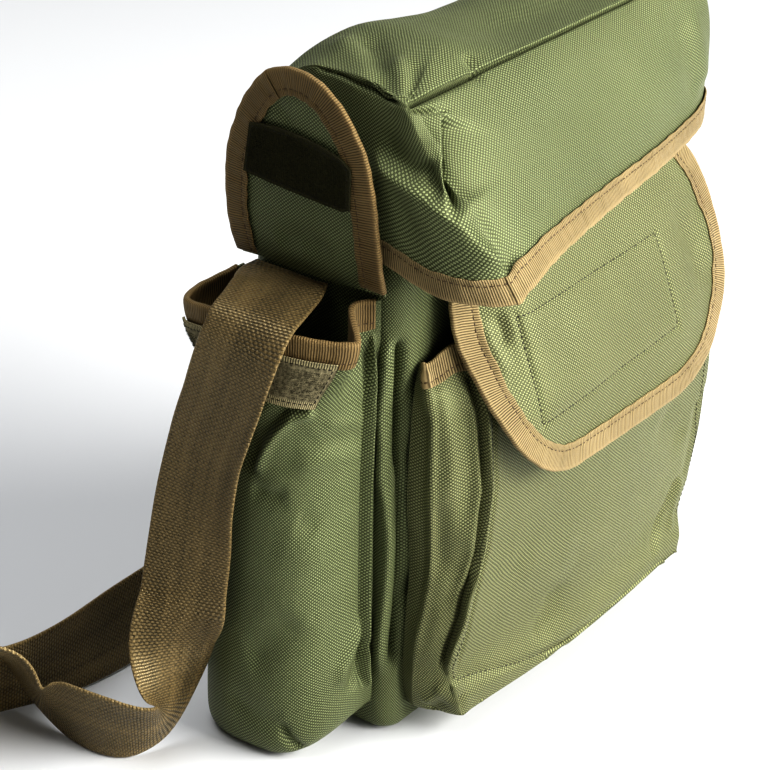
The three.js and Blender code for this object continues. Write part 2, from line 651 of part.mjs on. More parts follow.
const SIDE_HEM_V = 0.95; // the row where the rim binding's hem lies
const sideBoundU = sideU.slice(1, -1);
function sideMouthEdge(u, k) {
  const v = mix(1, SIDE_HEM_V, k);
  return { p: sidePocketFace(u, v), n: normalOf(sidePocketFace, u, v, 0.012, 0.02).negate() };
}

// ------------------------------------------------------------ side flap ----
// The side pocket's flap stands open against the lid, its inside facing out.
const EAR_LEAN = [
  { z: 240, x: -128.4 },
  { z: 247, x: -129.6 },
  { z: 253, x: -132.6 },
  { z: 262, x: -135 },
  { z: 280, x: -136.5 },
  { z: 310, x: -138 },
  { z: 340, x: -139 },
  { z: 356, x: -139.5 },
];
const earLean = columns(EAR_LEAN, "z");
const EAR_BOW = { middle: 4, half: 60, out: 2 };
const EAR_OUTLINE = [
  { z: 248, front: -41, back: 45 },
  { z: 258, front: -41.5, back: 46 },
  { z: 276, front: -40.5, back: 48 },
  { z: 298, front: -38.5, back: 47 },
  { z: 318, front: -34.5, back: 41.5 },
  { z: 333, front: -27, back: 34 },
  { z: 345, front: -17, back: 25 },
  { z: 351, front: -8, back: 17 },
  { z: 353.5, front: 1, back: 9 },
];
const earPoint = (y, z) =>
  V(earLean.x(z) - EAR_BOW.out * bump(y, EAR_BOW.middle, EAR_BOW.half), y, z);
const earWalk = outlineWalk([
  ...EAR_OUTLINE.map((r) => [r.back, r.z]),
  [5, 353.9],
  ...EAR_OUTLINE.slice().reverse().map((r) => [r.front, r.z]),
]);
const earTs = even(24);
const EAR_BASE = EAR_OUTLINE[0].z;
const sideFlap = clothWall(
  fanSheet(earWalk, (t) => [mix(16, -12, t), EAR_BASE], earPoint),
  earTs,
  SHEET_WS,
  CLOTH,
  { turn: 1 },
);
const earEdge = fanEdge(earWalk, earPoint, V(-1, 0, 0));

// ---------------------------------------------- hook tape and loop tape ----
// Corners of the hook tape on the side flap, as (y, z).
const HOOK = { backTop: [31, 322], frontTop: [-28, 315], frontLow: [-27, 290.5], backLow: [36, 296] };
function hookFace(u, v) {
  const y = mix(mix(HOOK.backLow[0], HOOK.frontLow[0], u), mix(HOOK.backTop[0], HOOK.frontTop[0], u), v);
  const z = mix(mix(HOOK.backLow[1], HOOK.frontLow[1], u), mix(HOOK.backTop[1], HOOK.frontTop[1], u), v);
  return earPoint(y, z).add(V(-TAPE_GAP - TAPE - GAP - 0.2 - HOOK_LOOP, 0, 0));
}
const hookTape = clothWall(hookFace, even(6), even(2), HOOK_LOOP);
// The loop tape lies on the side pocket under its bound rim.
const LOOP = { uFrom: 0.265, uTo: 0.77, below: 8.5, tall: 26.5 };
function loopFace(u, v) {
  const along = mix(LOOP.uFrom, LOOP.uTo, u);
  const d = LOOP.below + LOOP.tall * (1 - v);
  const top = sidePocketFace(along, 1);
  const length = top.distanceTo(sidePocketFace(along, 0.9)) / 0.1;
  const w = 1 - d / length;
  const n = normalOf(sidePocketFace, along, w, 0.012, 0.02).negate();
  return sidePocketFace(along, w).addScaledVector(n, TAPE_GAP + TAPE + GAP + 0.25 + HOOK_LOOP);
}
const loopTape = clothWall(loopFace, even(12), even(4), HOOK_LOOP, { turn: -1 });

// ------------------------------------------------------- shoulder strap ----
// The strap's route: its middle (x, y, z), and the way from one edge to the other
// (ex, ey, ez). It leaves the body under the side flap, crosses the pocket's
// mouth and hangs outside it, creases near the floor and twists onto its edge,
// runs on edge, loops back and passes behind the bag to the other side.
const STRAP_DOWN = [
  { at: "left_sewn", x: -129.3, y: 16.5, z: 244, ex: 0, ey: -1, ez: 0 },
  { at: "out", x: -133.5, y: 16.5, z: 244.2, ex: 0, ey: -1, ez: 0 },
  { at: "clear", x: -138.5, y: 14.5, z: 244.6, ex: 0.06, ey: -0.99, ez: -0.03 },
  { at: "over_mouth", x: -147, y: 9.8, z: 245, ex: 0.15, ey: -0.985, ez: -0.08 },
  { at: "before_rim", x: -162, y: 5.2, z: 243.8, ex: 0.15, ey: -0.985, ez: -0.08 },
  { at: "rim", x: -175.5, y: 2.8, z: 240.4, ex: 0.14, ey: -0.985, ez: -0.08 },
  { at: "past_rim", x: -183, y: 2.8, z: 231.6, ex: 0.1, ey: -0.99, ez: -0.05 },
  { at: "hang_high", x: -186, y: 6.2, z: 218.9, ex: 0.05, ey: -1, ez: 0 },
  { at: "hang_upper", x: -187.5, y: 14, z: 194, ex: 0, ey: -1, ez: 0.06 },
  { at: "hang", x: -187.5, y: 22.5, z: 170, ex: 0, ey: -0.99, ez: 0.12 },
  { at: "hang_mid", x: -189.5, y: 27.5, z: 141, ex: 0.11, ey: -0.99, ez: 0.13 },
  { at: "hang_low", x: -192, y: 29.5, z: 115, ex: 0.26, ey: -0.96, ez: 0.14 },
  { at: "low", x: -195, y: 30.5, z: 94, ex: 0.34, ey: -0.93, ez: 0.17 },
];
const STRAP_TWIST = [
  { at: "slack", x: -198, y: 30, z: 82, ex: 0.42, ey: -0.88, ez: 0.22 },
  { at: "crease", x: -198.5, y: 34, z: 70, ex: 0.55, ey: -0.79, ez: 0.27 },
  { at: "under_crease", x: -198.5, y: 36.5, z: 59, ex: 0.8, ey: -0.56, ez: 0.14 },
  { at: "twist", x: -201, y: 34.5, z: 47, ex: 0.95, ey: -0.27, ez: -0.1 },
  { at: "twist_low", x: -203, y: 33, z: 35, ex: 0.92, ey: 0.1, ez: -0.36 },
  { at: "landing", x: -207.5, y: 31.8, z: 25.5, ex: 0.74, ey: 0.36, ez: -0.56 },
  { at: "on_edge", x: -214.5, y: 31.5, z: 21, ex: 0.48, ey: 0.42, ez: -0.76 },
  { at: "edge_turn", x: -222.5, y: 36, z: 20.8, ex: 0.25, ey: 0.33, ez: -0.91 },
  { at: "floor_run", x: -229.5, y: 48, z: 21.6, ex: 0.14, ey: 0.28, ez: -0.95 },
  { at: "floor_mid", x: -233.5, y: 66, z: 21.2, ex: 0.14, ey: 0.36, ez: -0.92 },
  { at: "floor_end", x: -233, y: 83, z: 21.5, ex: 0.25, ey: 0.42, ez: -0.87 },
];
const STRAP_ROUND = [
  { at: "rise", x: -236, y: 97, z: 29, ex: 0.52, ey: 0.45, ez: -0.72 },
  { at: "lean", x: -240, y: 102, z: 42, ex: 0.6, ey: 0.52, ez: -0.6 },
  { at: "arch", x: -249, y: 106, z: 53, ex: 0.58, ey: 0.5, ez: -0.64 },
  { at: "loop_out", x: -268, y: 115, z: 55, ex: 0.5, ey: 0.42, ez: -0.75 },
  { at: "loop", x: -290, y: 130, z: 42, ex: 0.3, ey: 0.25, ez: -0.92 },
  { at: "loop_back", x: -291, y: 150, z: 26, ex: 0, ey: 0.05, ez: -1 },
  { at: "return", x: -264, y: 143, z: 23, ex: 0.05, ey: 0.12, ez: -0.98 },
  { at: "second_run", x: -233, y: 121.5, z: 21.5, ex: 0.08, ey: 0.2, ez: -0.97 },
  { at: "second_mid", x: -193, y: 109.5, z: 22.5, ex: 0, ey: -0.05, ez: -1 },
  { at: "second_near", x: -150, y: 109, z: 22, ex: 0, ey: -0.28, ez: -0.96 },
  { at: "behind_left", x: -110, y: 111, z: 22.3, ex: 0, ey: -0.1, ez: -1 },
  { at: "behind", x: -30, y: 108, z: 22.3, ex: 0, ey: 0, ez: -1 },
  { at: "behind_right", x: 60, y: 102, z: 22.3, ex: 0, ey: 0, ez: -1 },
  { at: "round", x: 132, y: 88, z: 24, ex: 0.1, ey: 0.1, ez: -0.98 },
  { at: "climb", x: 156, y: 52, z: 46, ex: 0.3, ey: 0.6, ez: -0.74 },
  { at: "right_low", x: 146, y: 24, z: 105, ex: 0.1, ey: 0.92, ez: -0.3 },
  { at: "right_mid", x: 135, y: 11, z: 165, ex: 0, ey: 0.99, ez: -0.1 },
  { at: "right_high", x: 129.4, y: 7, z: 222, ex: 0, ey: 1, ez: 0 },
  { at: "right_sewn", x: 128.7, y: 7, z: 236, ex: 0, ey: 1, ez: 0 },
];
const STRAP = [...STRAP_DOWN, ...STRAP_TWIST, ...STRAP_ROUND];
// The middle runs on a smooth curve through the rows; the edge direction is
// squared to it at every step.
const strapCurve = new THREE.CatmullRomCurve3(
  STRAP.map((r) => V(r.x, r.y, r.z)),
  false,
  "centripetal",
);
const strapEdgeCurve = new THREE.CatmullRomCurve3(
  STRAP.map((r) => V(r.ex, r.ey, r.ez).normalize()),
  false,
  "centripetal",
);
const STRAP_STEPS = 3 * (STRAP.length - 1);
const strapSections = [];
for (let i = 0; i <= STRAP_STEPS; i++) {
  const t = i / STRAP_STEPS;
  const tangent = strapCurve.getTangent(t);
  const e = strapEdgeCurve.getPoint(t);
  e.addScaledVector(tangent, -e.dot(tangent)).normalize();
  const n = tangent.clone().cross(e).normalize();
  const p = strapCurve.getPoint(t);
  const corner = (a, b) =>
    p
      .clone()
      .addScaledVector(e, (a * STRAP_W) / 2)
      .addScaledVector(n, (b * STRAP_T) / 2);
  const section = [corner(-1, 1), corner(1, 1), corner(1, -1), corner(-1, -1)];
  // Where the strap would dip below the floor it is lifted onto it.
  const lift = Math.max(0, -Math.min(...section.map((c) => c.z)));
  for (const c of section) c.z += lift;
  strapSections.push(section);
}
const strap = swept(strapSections);

// -------------------------------------------------------------- assembly ----
const group = new THREE.Group();
function piece(name, shape, colour, roughness) {
  const material = new THREE.MeshStandardMaterial({ color: colour, roughness, metalness: 0 });
  const mesh = new THREE.Mesh(shape, material);
  mesh.name = name;
  group.add(mesh);
  return mesh;
}
piece("body", body, COLOUR.nylonDark, 0.62);
piece("lid", lid, COLOUR.nylon, 0.58);
piece("lid_binding", foldedTape(lidEdge, lidBoundU), COLOUR.binding, 0.7);
piece("front_pocket", frontPocket, COLOUR.nylon, 0.6);
piece("front_pocket_binding", foldedTape(frontMouthEdge, mouthU, clearOfFront), COLOUR.binding, 0.7);
piece("front_flap", frontFlap, COLOUR.nylon, 0.58);
piece("front_flap_binding", foldedTape(flapEdge, flapTs.slice(1, -1)), COLOUR.binding, 0.7);
piece("side_pocket", sidePocket, COLOUR.nylonDark, 0.6);
piece("side_pocket_binding", foldedTape(sideMouthEdge, sideBoundU, clearOfSide), COLOUR.binding, 0.7);
piece("side_pocket_loop_tape", loopTape, COLOUR.loop, 0.9);
piece("side_flap", sideFlap, COLOUR.nylonDark, 0.62);
piece("side_flap_binding", foldedTape(earEdge, earTs.slice(1, -1)), COLOUR.binding, 0.7);
piece("side_flap_hook_tape", hookTape, COLOUR.hook, 0.9);
piece("shoulder_strap", strap, COLOUR.webbing, 0.7);

export default group;
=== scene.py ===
"""Radio pouch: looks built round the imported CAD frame.

Every piece is a cloth surface or tape made from the same tables as the CAD
solids, with finer grids, creases, seams, stitches and procedural weaves.
"""

import math

import bpy
import numpy as np
from mathutils import Matrix, Vector


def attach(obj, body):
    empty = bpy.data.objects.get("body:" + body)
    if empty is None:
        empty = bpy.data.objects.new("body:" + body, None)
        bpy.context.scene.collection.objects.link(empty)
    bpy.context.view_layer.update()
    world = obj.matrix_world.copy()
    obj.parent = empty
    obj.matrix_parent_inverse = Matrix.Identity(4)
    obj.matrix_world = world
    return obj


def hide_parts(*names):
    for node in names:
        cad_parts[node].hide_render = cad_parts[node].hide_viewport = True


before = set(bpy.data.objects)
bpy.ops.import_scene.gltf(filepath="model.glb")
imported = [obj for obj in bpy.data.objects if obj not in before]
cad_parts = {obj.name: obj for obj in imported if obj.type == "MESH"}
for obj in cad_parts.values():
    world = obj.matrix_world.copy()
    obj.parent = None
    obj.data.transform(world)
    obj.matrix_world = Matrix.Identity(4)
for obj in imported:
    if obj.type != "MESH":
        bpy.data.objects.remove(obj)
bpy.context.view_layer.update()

# ------------------------------------------------------------------ sizes ----
# Millimetres here, turned into metres when a mesh is made.
BODY_HALF_W, BODY_HALF_D = 127.0, 45.5
CLOTH = 1.2  # nylon with its coating
BIND = 12.5  # a 25 mm tape folded over an edge shows half on each side
FRONT, SIDE = -BODY_HALF_D, -BODY_HALF_W
GAP = 0.35
STRAP_W, STRAP_T = 44.5, 2.0


# -------------------------------------------------------- table functions ----
def cubic(xs, ys):
    """A monotone cubic through (xs, ys), for arrays of x."""
    xs, ys = np.asarray(xs, float), np.asarray(ys, float)
    n = len(xs)
    h = np.diff(xs)
    s = np.diff(ys) / h
    m = np.zeros(n)
    m[0], m[-1] = s[0], s[-1]
    for i in range(1, n - 1):
        if s[i - 1] * s[i] > 0:
            a, b = 2 * h[i] + h[i - 1], h[i] + 2 * h[i - 1]
            m[i] = (a + b) / (a / s[i - 1] + b / s[i])

    def f(x):
        x = np.asarray(x, float)
        i = np.clip(np.searchsorted(xs, x, side="left") - 1, 0, n - 2)
        t = np.clip((x - xs[i]) / h[i], 0, 1)
        u = 1 - t
        return (
            ys[i] * (1 + 2 * t) * u * u
            + h[i] * m[i] * t * u * u
            + ys[i + 1] * t * t * (3 - 2 * t)
            - h[i] * m[i + 1] * t * t * u
        )

    return f


def columns(names, rows, loop=False):
    names = names.split()
    a = np.array(rows, float)
    if loop:
        before, after = a[-3:].copy(), a[:3].copy()
        before[:, 0] -= 1
        after[:, 0] += 1
        a = np.vstack([before, a, after])
    return {n: cubic(a[:, 0], a[:, i]) for i, n in enumerate(names) if i > 0}


def mix(a, b, t):
    return a + (b - a) * t


def step(a, b, x):
    t = np.clip((np.asarray(x, float) - a) / (b - a), 0, 1)
    return t * t * (3 - 2 * t)


def bump(x, middle, half):
    t = np.abs(np.asarray(x, float) - middle) / half
    return np.where(t >= 1, 0.0, 0.5 + 0.5 * np.cos(np.pi * np.minimum(t, 1)))


def unit(a):
    return a / np.maximum(np.linalg.norm(a, axis=-1, keepdims=True), 1e-9)


def vec(x, y, z):
    return np.stack(np.broadcast_arrays(*[np.asarray(q, float) for q in (x, y, z)]), -1)


def normal_of(face, u, v, du, dv, turn):
    a = face(u + du, v) - face(u - du, v)
    b = face(u, v + dv) - face(u, v - dv)
    return unit(np.cross(a, b)) * turn


# ------------------------------------------------------------------ folds ----
class Fold:
    """A crease along a line on the cloth. On its left the profile is `left` wide,
    on its right `right` wide, and it dies out over the `ends` shares of its
    length. Left is the side of cross(normal, direction). `below` keeps it under a
    height."""

    def __init__(self, points, amp, left, right, power=2.0, ends=(0.15, 0.15), below=None):
        self.p = np.array(points, float)
        self.amp, self.left, self.right = amp, left, right
        self.power, self.ends, self.below = power, ends, below
        seg = np.linalg.norm(np.diff(self.p, axis=0), axis=1)
        self.along = np.concatenate([[0], np.cumsum(seg)])

    def __call__(self, p, n):
        flat = p.reshape(-1, 3)
        nn = n.reshape(-1, 3)
        reach = 3.2 * max(self.left, self.right)
        low, high = self.p.min(0) - reach, self.p.max(0) + reach
        near = np.all((flat > low) & (flat < high), axis=1)
        out = np.zeros(len(flat))
        if not near.any():
            return out.reshape(p.shape[:-1])
        q, qn = flat[near], nn[near]
        best = np.full(len(q), 1e9)
        sign = np.ones(len(q))
        share = np.zeros(len(q))
        total = self.along[-1]
        for i in range(len(self.p) - 1):
            a, b = self.p[i], self.p[i + 1]
            d = b - a
            ll = max(float(d @ d), 1e-9)
            t = np.clip(((q - a) @ d) / ll, 0, 1)
            off = q - (a + t[:, None] * d)
            off = off - qn * np.sum(off * qn, 1, keepdims=True)
            dist = np.linalg.norm(off, axis=1)
            take = dist < best
            best = np.where(take, dist, best)
            side = np.sum(np.cross(qn, np.broadcast_to(d, qn.shape)) * off, 1)
            sign = np.where(take, side, sign)
            share = np.where(take, (self.along[i] + t * math.sqrt(ll)) / total, share)
        width = np.where(sign > 0, self.left, self.right)
        value = self.amp * np.exp(-np.power(best / width, self.power))
        e0, e1 = self.ends
        if e0 > 0:
            value = value * step(0, e0, share)
        if e1 > 0:
            value = value * step(0, e1, 1 - share)
        if self.below is not None:
            value = value * (1 - step(self.below - 1.0, self.below + 1.0, q[:, 2]))
        out[near] = value
        return out.reshape(p.shape[:-1])


def ripples(seed, amp, lengths):
    """Slow unevenness of slack cloth: a few plane waves with seeded directions."""
    rng = np.random.default_rng(seed)
    waves = []
    for length in lengths:
        for _ in range(3):
            d = rng.normal(size=3)
            d /= np.linalg.norm(d)
            waves.append((d * 2 * np.pi / length, rng.uniform(0, 2 * np.pi)))

    def f(p, n):
        total = 0
        for k, phase in waves:
            total = total + np.sin(p @ k + phase)
        return amp * total / len(waves)

    return f


def moved(face, turn, du, dv, fields):
    """face with every field's displacement along its outward normal."""

    def f(u, v):
        u, v = np.broadcast_arrays(np.asarray(u, float), np.asarray(v, float))
        p = face(u, v)
        n = normal_of(face, u, v, du, dv, turn)
        push = 0
        for g in fields:
            push = push + g(p, n)
        return p + n * np.asarray(push)[..., None]

    return f


# ------------------------------------------------------------------- body ----
BODY = columns(
    "v z halfW halfD corner",
    [
        (0.0, 0, 70, 22, 10),
        (0.08, 0, 118, 36.5, 9),
        (0.14, 1.6, 123.5, 42.4, 10),
        (0.2, 6, 126.4, 45.2, 11),
        (0.26, 14, 127, 45.5, 11),
        (0.4, 70, 127, 45.5, 11),
        (0.55, 140, 127, 45.5, 11),
        (0.7, 205, 127, 45.5, 12),
        (0.8, 244, 126.4, 45.5, 13),
        (0.88, 268, 121, 44.6, 14),
        (0.94, 292, 117, 42.5, 15),
        (1.0, 314, 114, 40, 16),
    ],
)


def body_base(u, v):
    u, v = np.broadcast_arrays(np.asarray(u, float), np.asarray(v, float))
    u = np.mod(u, 1.0)
    v = np.clip(v, 0, 1)
    w, d, r, z = (BODY[k](v) for k in ("halfW", "halfD", "corner", "z"))
    quarter = np.floor(u * 4).astype(int) % 4
    t = (u * 4 - np.floor(u * 4)) / 4
    t = np.where(quarter % 2 == 1, 0.25 - t, t)
    a = np.clip((t - 0.15) / 0.05, 0, 1) * np.pi / 2
    k = np.clip((t - 0.2) / 0.05, 0, 1)
    x = np.where(t <= 0.15, t / 0.15 * (w - r), np.where(t <= 0.2, w - r + r * np.sin(a), w))
    y = np.where(t <= 0.15, -d, np.where(t <= 0.2, -d + r - r * np.cos(a), (-d + r) * (1 - k)))
    y = np.where((quarter == 1) | (quarter == 2), -y, y)
    x = np.where(quarter >= 2, -x, x)
    return vec(x, y, z)


# -------------------------------------------------------------------- lid ----
LID = columns(
    "u sx sy sz ex ey ez puff",
    [
        (0.0, -114, 43, 327, -116, 47.5, 313, 0),
        (0.05, -120, 35, 335, -126.5, 39, 282, 0),
        (0.11, -120.5, 6, 350, -128, 10, 270, 1),
        (0.18, -121, -22, 350, -128.2, -34, 266, 2),
        (0.22, -122.5, -38, 346, -127.5, -70, 257, 3),
        (0.25, -122, -44, 344, -120, -92.5, 256.5, 4),
        (0.27, -118.5, -45, 344, -109.5, -102, 257.2, 4),
        (0.285, -114, -45, 344, -102, -102.2, 261.5, 4),
        (0.34, -80, -45, 344, -70, -98, 267, 5),
        (0.42, -20, -45, 344, -24, -90.5, 268, 6),
        (0.5, 45, -45, 344, 48, -80, 268, 7),
        (0.57, 106, -45, 344, 110, -66, 269, 7),
        (0.61, 128, -44, 344, 127, -54, 271, 8),
        (0.65, 129, -32, 346, 129.5, -36, 273, 6),
        (0.74, 123, 6, 349, 128, 8, 274, 2),
        (0.82, 120, 35, 335, 126.5, 39, 282, 0),
        (0.87, 114, 43, 327, 116, 47.5, 313, 0),
        (0.94, 0, 44, 326, 0, 48.5, 312, 0),
    ],
    loop=True,
)
CROWN = columns(
    "x z flat",
    [
        (-122, 352, 3.4),
        (-95, 356.5, 3.6),
        (-75, 356.5, 3.4),
        (-45, 352, 2.8),
        (-5, 347, 2.2),
        (60, 346, 2.2),
        (95, 350, 3),
        (122, 348, 3.4),
    ],
)
SEAM_V, LID_HEM_V = 0.4, 0.922
LID_HOLLOWS = [(0.212, 0.02, 0.35, 0.9, 3.0)]


def lid_base(u, v):
    u, v = np.broadcast_arrays(np.asarray(u, float), np.asarray(v, float))
    c = {k: f(u) for k, f in LID.items()}
    s = np.clip(v / SEAM_V, 0, 1)
    x = s * c["sx"]
    crown = CROWN["z"](x)
    top = vec(x, mix(-2.0, c["sy"], s), c["sz"] + (crown - c["sz"]) * (1 - np.power(s, CROWN["flat"](x))))
    k = np.clip((v - SEAM_V) / (1 - SEAM_V), 0, 1)
    seam = vec(c["sx"], c["sy"], c["sz"])
    edge = vec(c["ex"], c["ey"], c["ez"])
    p = seam + (edge - seam) * k[..., None]
    away = unit(vec(p[..., 0] * 0.25, p[..., 1] + 4, 0 * k))
    push = c["puff"] * np.sin(np.pi * np.power(k, 0.7))
    for at, half, k0, k1, depth in LID_HOLLOWS:
        push = push - depth * bump(u, at, half) * bump(k, (k0 + k1) / 2, (k1 - k0) / 2)
    return np.where((v <= SEAM_V)[..., None], top, p + away * push[..., None])


# ----------------------------------------------------------- front pocket ----
POCKET = columns(
    "v z depth left right edgeL out seamR bulge pleat crown",
    [
        (0.0, 14.5, 0.8, -101, 103, -102, 0.24, 104, 0, 0, 0.4),
        (0.05, 13, 15, -102, 104, -106, 0.2, 105, 0, 0, 3),
        (0.1, 13.5, 28.5, -103, 105, -111, 0.17, 106, 0, 0, 5),
        (0.15, 21, 28.5, -105, 107, -115.5, 0.21, 106, 1, 1, 6),
        (0.21, 37, 23.5, -107, 112, -117.8, 0.31, 106, 2, 1, 9),
        (0.3, 60, 28, -105, 115, -117, 0.36, 106, 4, 1, 7),
        (0.42, 95, 32, -101.5, 115, -114, 0.43, 105, 6, 1, 5),
        (0.58, 138, 34, -97, 115, -117, 0.455, 104, 7.5, 1, 4),
        (0.74, 175, 32.5, -93, 109, -116, 0.455, 103, 8, 1, 3.5),
        (0.86, 191, 26.5, -91, 103, -114.6, 0.465, 101, 8, 1, 5),
        (0.93, 203, 18, -89.5, 97.5, -113, 0.46, 99.5, 7, 2, 8),
        (1.0, 214.5, 11.5, -89, 96, -110, 0.375, 99.5, 6, 3, 10),
    ],
)
# Stations across: u, share of the depth, side, edge (0 seam, 1 panel edge, 2 middle, 3 bellows), pleat, bulge, crown, inset.
ACROSS = [
    (0.0, 0, -1, 3, 2.0, 0, 0, 0),
    (0.04, 0.8, -1, 3, 0.3, 0, 0, 0),
    (0.055, 1, -1, 3, 0, 0, 0, 0),
    (0.068, 0.12, -1, 3, 0, 0.08, 0, 0),
    (0.12, 0.55, -1, 3, 0, 0.47, 0, 0),
    (0.18, 1, -1, 1, 0, 0, 0, 0),
    (0.23, 1, -1, 1, 0, 0, 0.1, 9),
    (0.5, 1, 0, 2, 0, 0, 1, 0),
    (0.77, 1, 1, 1, 0, 0, 0.1, 9),
    (0.82, 1, 1, 1, 0, 0, 0, 0),
    (0.88, 0.62, 1, 1, 0, 1, 0, 0),
    (0.945, 0.24, 1, 0, 1, 0, 0, 0),
    (1.0, 0, 1, 0, 0, 0, 0, 0),
]
MOUTH_HEM_V = 0.93


def pocket_base(u, v):
    u, v = np.broadcast_arrays(np.asarray(u, float), np.asarray(v, float))
    shape = u.shape
    uu, vv = np.clip(u.ravel(), 0, 1), np.clip(v.ravel(), 0, 1)
    out = np.zeros((uu.size, 3))
    keys, inverse = np.unique(np.round(vv, 6), return_inverse=True)
    order = np.argsort(inverse, kind="stable")
    starts = np.searchsorted(inverse[order], np.arange(len(keys) + 1))
    us = [a[0] for a in ACROSS]
    for i, key in enumerate(keys):
        r = {k: float(f(key)) for k, f in POCKET.items()}
        xs, ys = [], []
        for _, share, side, of, pleat, bulge, crown, inset in ACROSS:
            if of == 2:
                xs.append((r["left"] + r["right"]) / 2)
            elif of == 3:
                # The left gusset stands out to a bellows edge between its two seams.
                xs.append(r["edgeL"] + bulge * (r["left"] - r["edgeL"]) + pleat)
                share = share + (1 - share) * r["out"] if bulge else share * r["out"]
            else:
                edge = r["seamR"] if of == 0 else (r["left"] if side < 0 else r["right"])
                xs.append(edge - side * (inset + pleat * r["pleat"] - bulge * r["bulge"]))
            ys.append(FRONT - GAP - share * r["depth"] - crown * r["crown"])
        idx = order[starts[i] : starts[i + 1]]
        out[idx, 0] = cubic(us, xs)(uu[idx])
        out[idx, 1] = cubic(us, ys)(uu[idx])
        sag = 7.0 * step(0.8, 1.0, key) * (1 - step(0.06, 0.15, uu[idx]))
        out[idx, 2] = r["z"] - sag
    return out.reshape(shape + (3,))


# ------------------------------------------------------------- front flap ----
HANG = columns(
    "z y fall curl",
    [
        (134, -99.5, 0, 4),
        (150, -98.5, 1, 5),
        (177, -94.5, 7, 7),
        (200, -87.5, 15, 8),
        (217, -81, 21, 8),
        (232, -74, 19, 6),
        (250, -65, 10, 4),
        (262, -57, 4, 2),
        (272, -48.5, 0, 0),
    ],
)
FLAP_TOP = 272.0
FLAP_OUTLINE = [
    (143.5, -46, 46),
    (145.5, -58, 60),
    (150, -69, 75),
    (157, -79, 88),
    (166, -87, 98),
    (178, -93, 109),
    (196, -97, 116.5),
    (218, -97.5, 118.5),
    (242, -96, 113.5),
    (FLAP_TOP, -92, 94),
]


def flap_point(x, z):
    x, z = np.broadcast_arrays(np.asarray(x, float), np.asarray(z, float))
    left = step(-58, -104, x)
    right = step(52, 124, x)
    return vec(x, HANG["y"](z) + HANG["fall"](z) * left + HANG["curl"](z) * right, z)


def outline_walk(path):
    path = np.array(path, float)
    along = np.concatenate([[0], np.cumsum(np.linalg.norm(np.diff(path, axis=0), axis=1))])
    ts = along / along[-1]
    a, b = cubic(ts, path[:, 0]), cubic(ts, path[:, 1])

    def walk(t, inside=0.0):
        t = np.asarray(t, float)
        t0, t1 = np.maximum(0, t - 0.006), np.minimum(1, t + 0.006)
        da, db = a(t1) - a(t0), b(t1) - b(t0)
        l = np.hypot(da, db)
        return a(t) - db * inside / l, b(t) + da * inside / l

    return walk, along[-1]


HEM_W = 0.82


def fan(walk, core):
    """Sheet coordinates of a fan from the sewn edge (core) to the outline."""

    def f(t, w):
        t, w = np.broadcast_arrays(np.asarray(t, float), np.asarray(w, float))
        ha, hb = walk(t, BIND)
        ra, rb = walk(t)
        ca, cb = core(t)
        k = np.clip((w - HEM_W) / (1 - HEM_W), 0, 1)
        q = np.clip(w / HEM_W, 0, 1)
        outer = w >= HEM_W
        return (
            np.where(outer, mix(ha, ra, k), mix(ca, ha, q)),
            np.where(outer, mix(hb, rb, k), mix(cb, hb, q)),
        )

    return f


flap_walk, flap_length = outline_walk(
    [(l, z) for z, l, r in FLAP_OUTLINE[::-1]] + [(0, 143)] + [(r, z) for z, l, r in FLAP_OUTLINE]
)
flap_fan = fan(flap_walk, lambda t: (mix(-40.0, 40.0, t), FLAP_TOP + 0 * t))

# ------------------------------------------------------------ side pocket ----
SIDEP = columns(
    "v z out front back",
    [
        (0.0, 20, 0.7, -28, 36),
        (0.05, 10, 16, -31, 41),
        (0.1, 3, 30, -33, 43),
        (0.15, 0.4, 43, -34, 47),
        (0.2, 3.5, 50.5, -35, 48.5),
        (0.26, 13, 53, -35.5, 49),
        (0.35, 40, 53.5, -34, 48),
        (0.48, 85, 52, -33.5, 46),
        (0.62, 130, 51, -33.5, 46),
        (0.76, 175, 49, -34, 46),
        (0.86, 205, 47, -35, 46),
        (0.95, 226.5, 46, -36, 46),
        (1.0, 240, 45, -37, 46),
    ],
)
SIDE_MOUTH = columns(
    "u x y rim",
    [
        (0.0, -127.6, -37, 5),
        (0.1, -138, -28.5, 3),
        (0.21, -151, -41, -8),
        (0.31, -161.5, -29, -7),
        (0.44, -170, -6, -5),
        (0.6, -175, 24, -1.5),
        (0.75, -171, 47, -4),
        (0.87, -154, 53, -4),
        (1.0, -127.6, 47, 0),
    ],
)
SIDE_HEM_V = 0.95


def side_base(u, v):
    u, v = np.broadcast_arrays(np.clip(np.asarray(u, float), 0, 1), np.clip(np.asarray(v, float), 0, 1))
    z, out, front, back = (SIDEP[k](v) for k in ("z", "out", "front", "back"))
    power = 2 / 2.6
    c = np.cos(np.pi * u)
    rx = SIDE - GAP - 0.25 - out * np.power(np.maximum(0, np.sin(np.pi * u)), power)
    ry = (front + back) / 2 - (back - front) / 2 * np.sign(c) * np.power(np.abs(c), power)
    rz = z + 18 * (1 - step(0, 0.42, u)) * (1 - step(0, 60, z))
    w = step(0.8, 1, v)[..., None]
    mouth = vec(SIDE_MOUTH["x"](u), SIDE_MOUTH["y"](u), z + SIDE_MOUTH["rim"](u))
    return mix(vec(rx, ry, rz), mouth, w)


# -------------------------------------------------------------- side flap ----
LEAN = columns(
    "z x",
    [(240, -128.4), (247, -129.6), (253, -132.6), (262, -135), (280, -136.5), (310, -138), (340, -139), (356, -139.5)],
)
EAR_OUTLINE = [
    (248, -41, 45),
    (258, -41.5, 46),
    (276, -40.5, 48),
    (298, -38.5, 47),
    (318, -34.5, 41.5),
    (333, -27, 34),
    (345, -17, 25),
    (351, -8, 17),
    (353.5, 1, 9),
]


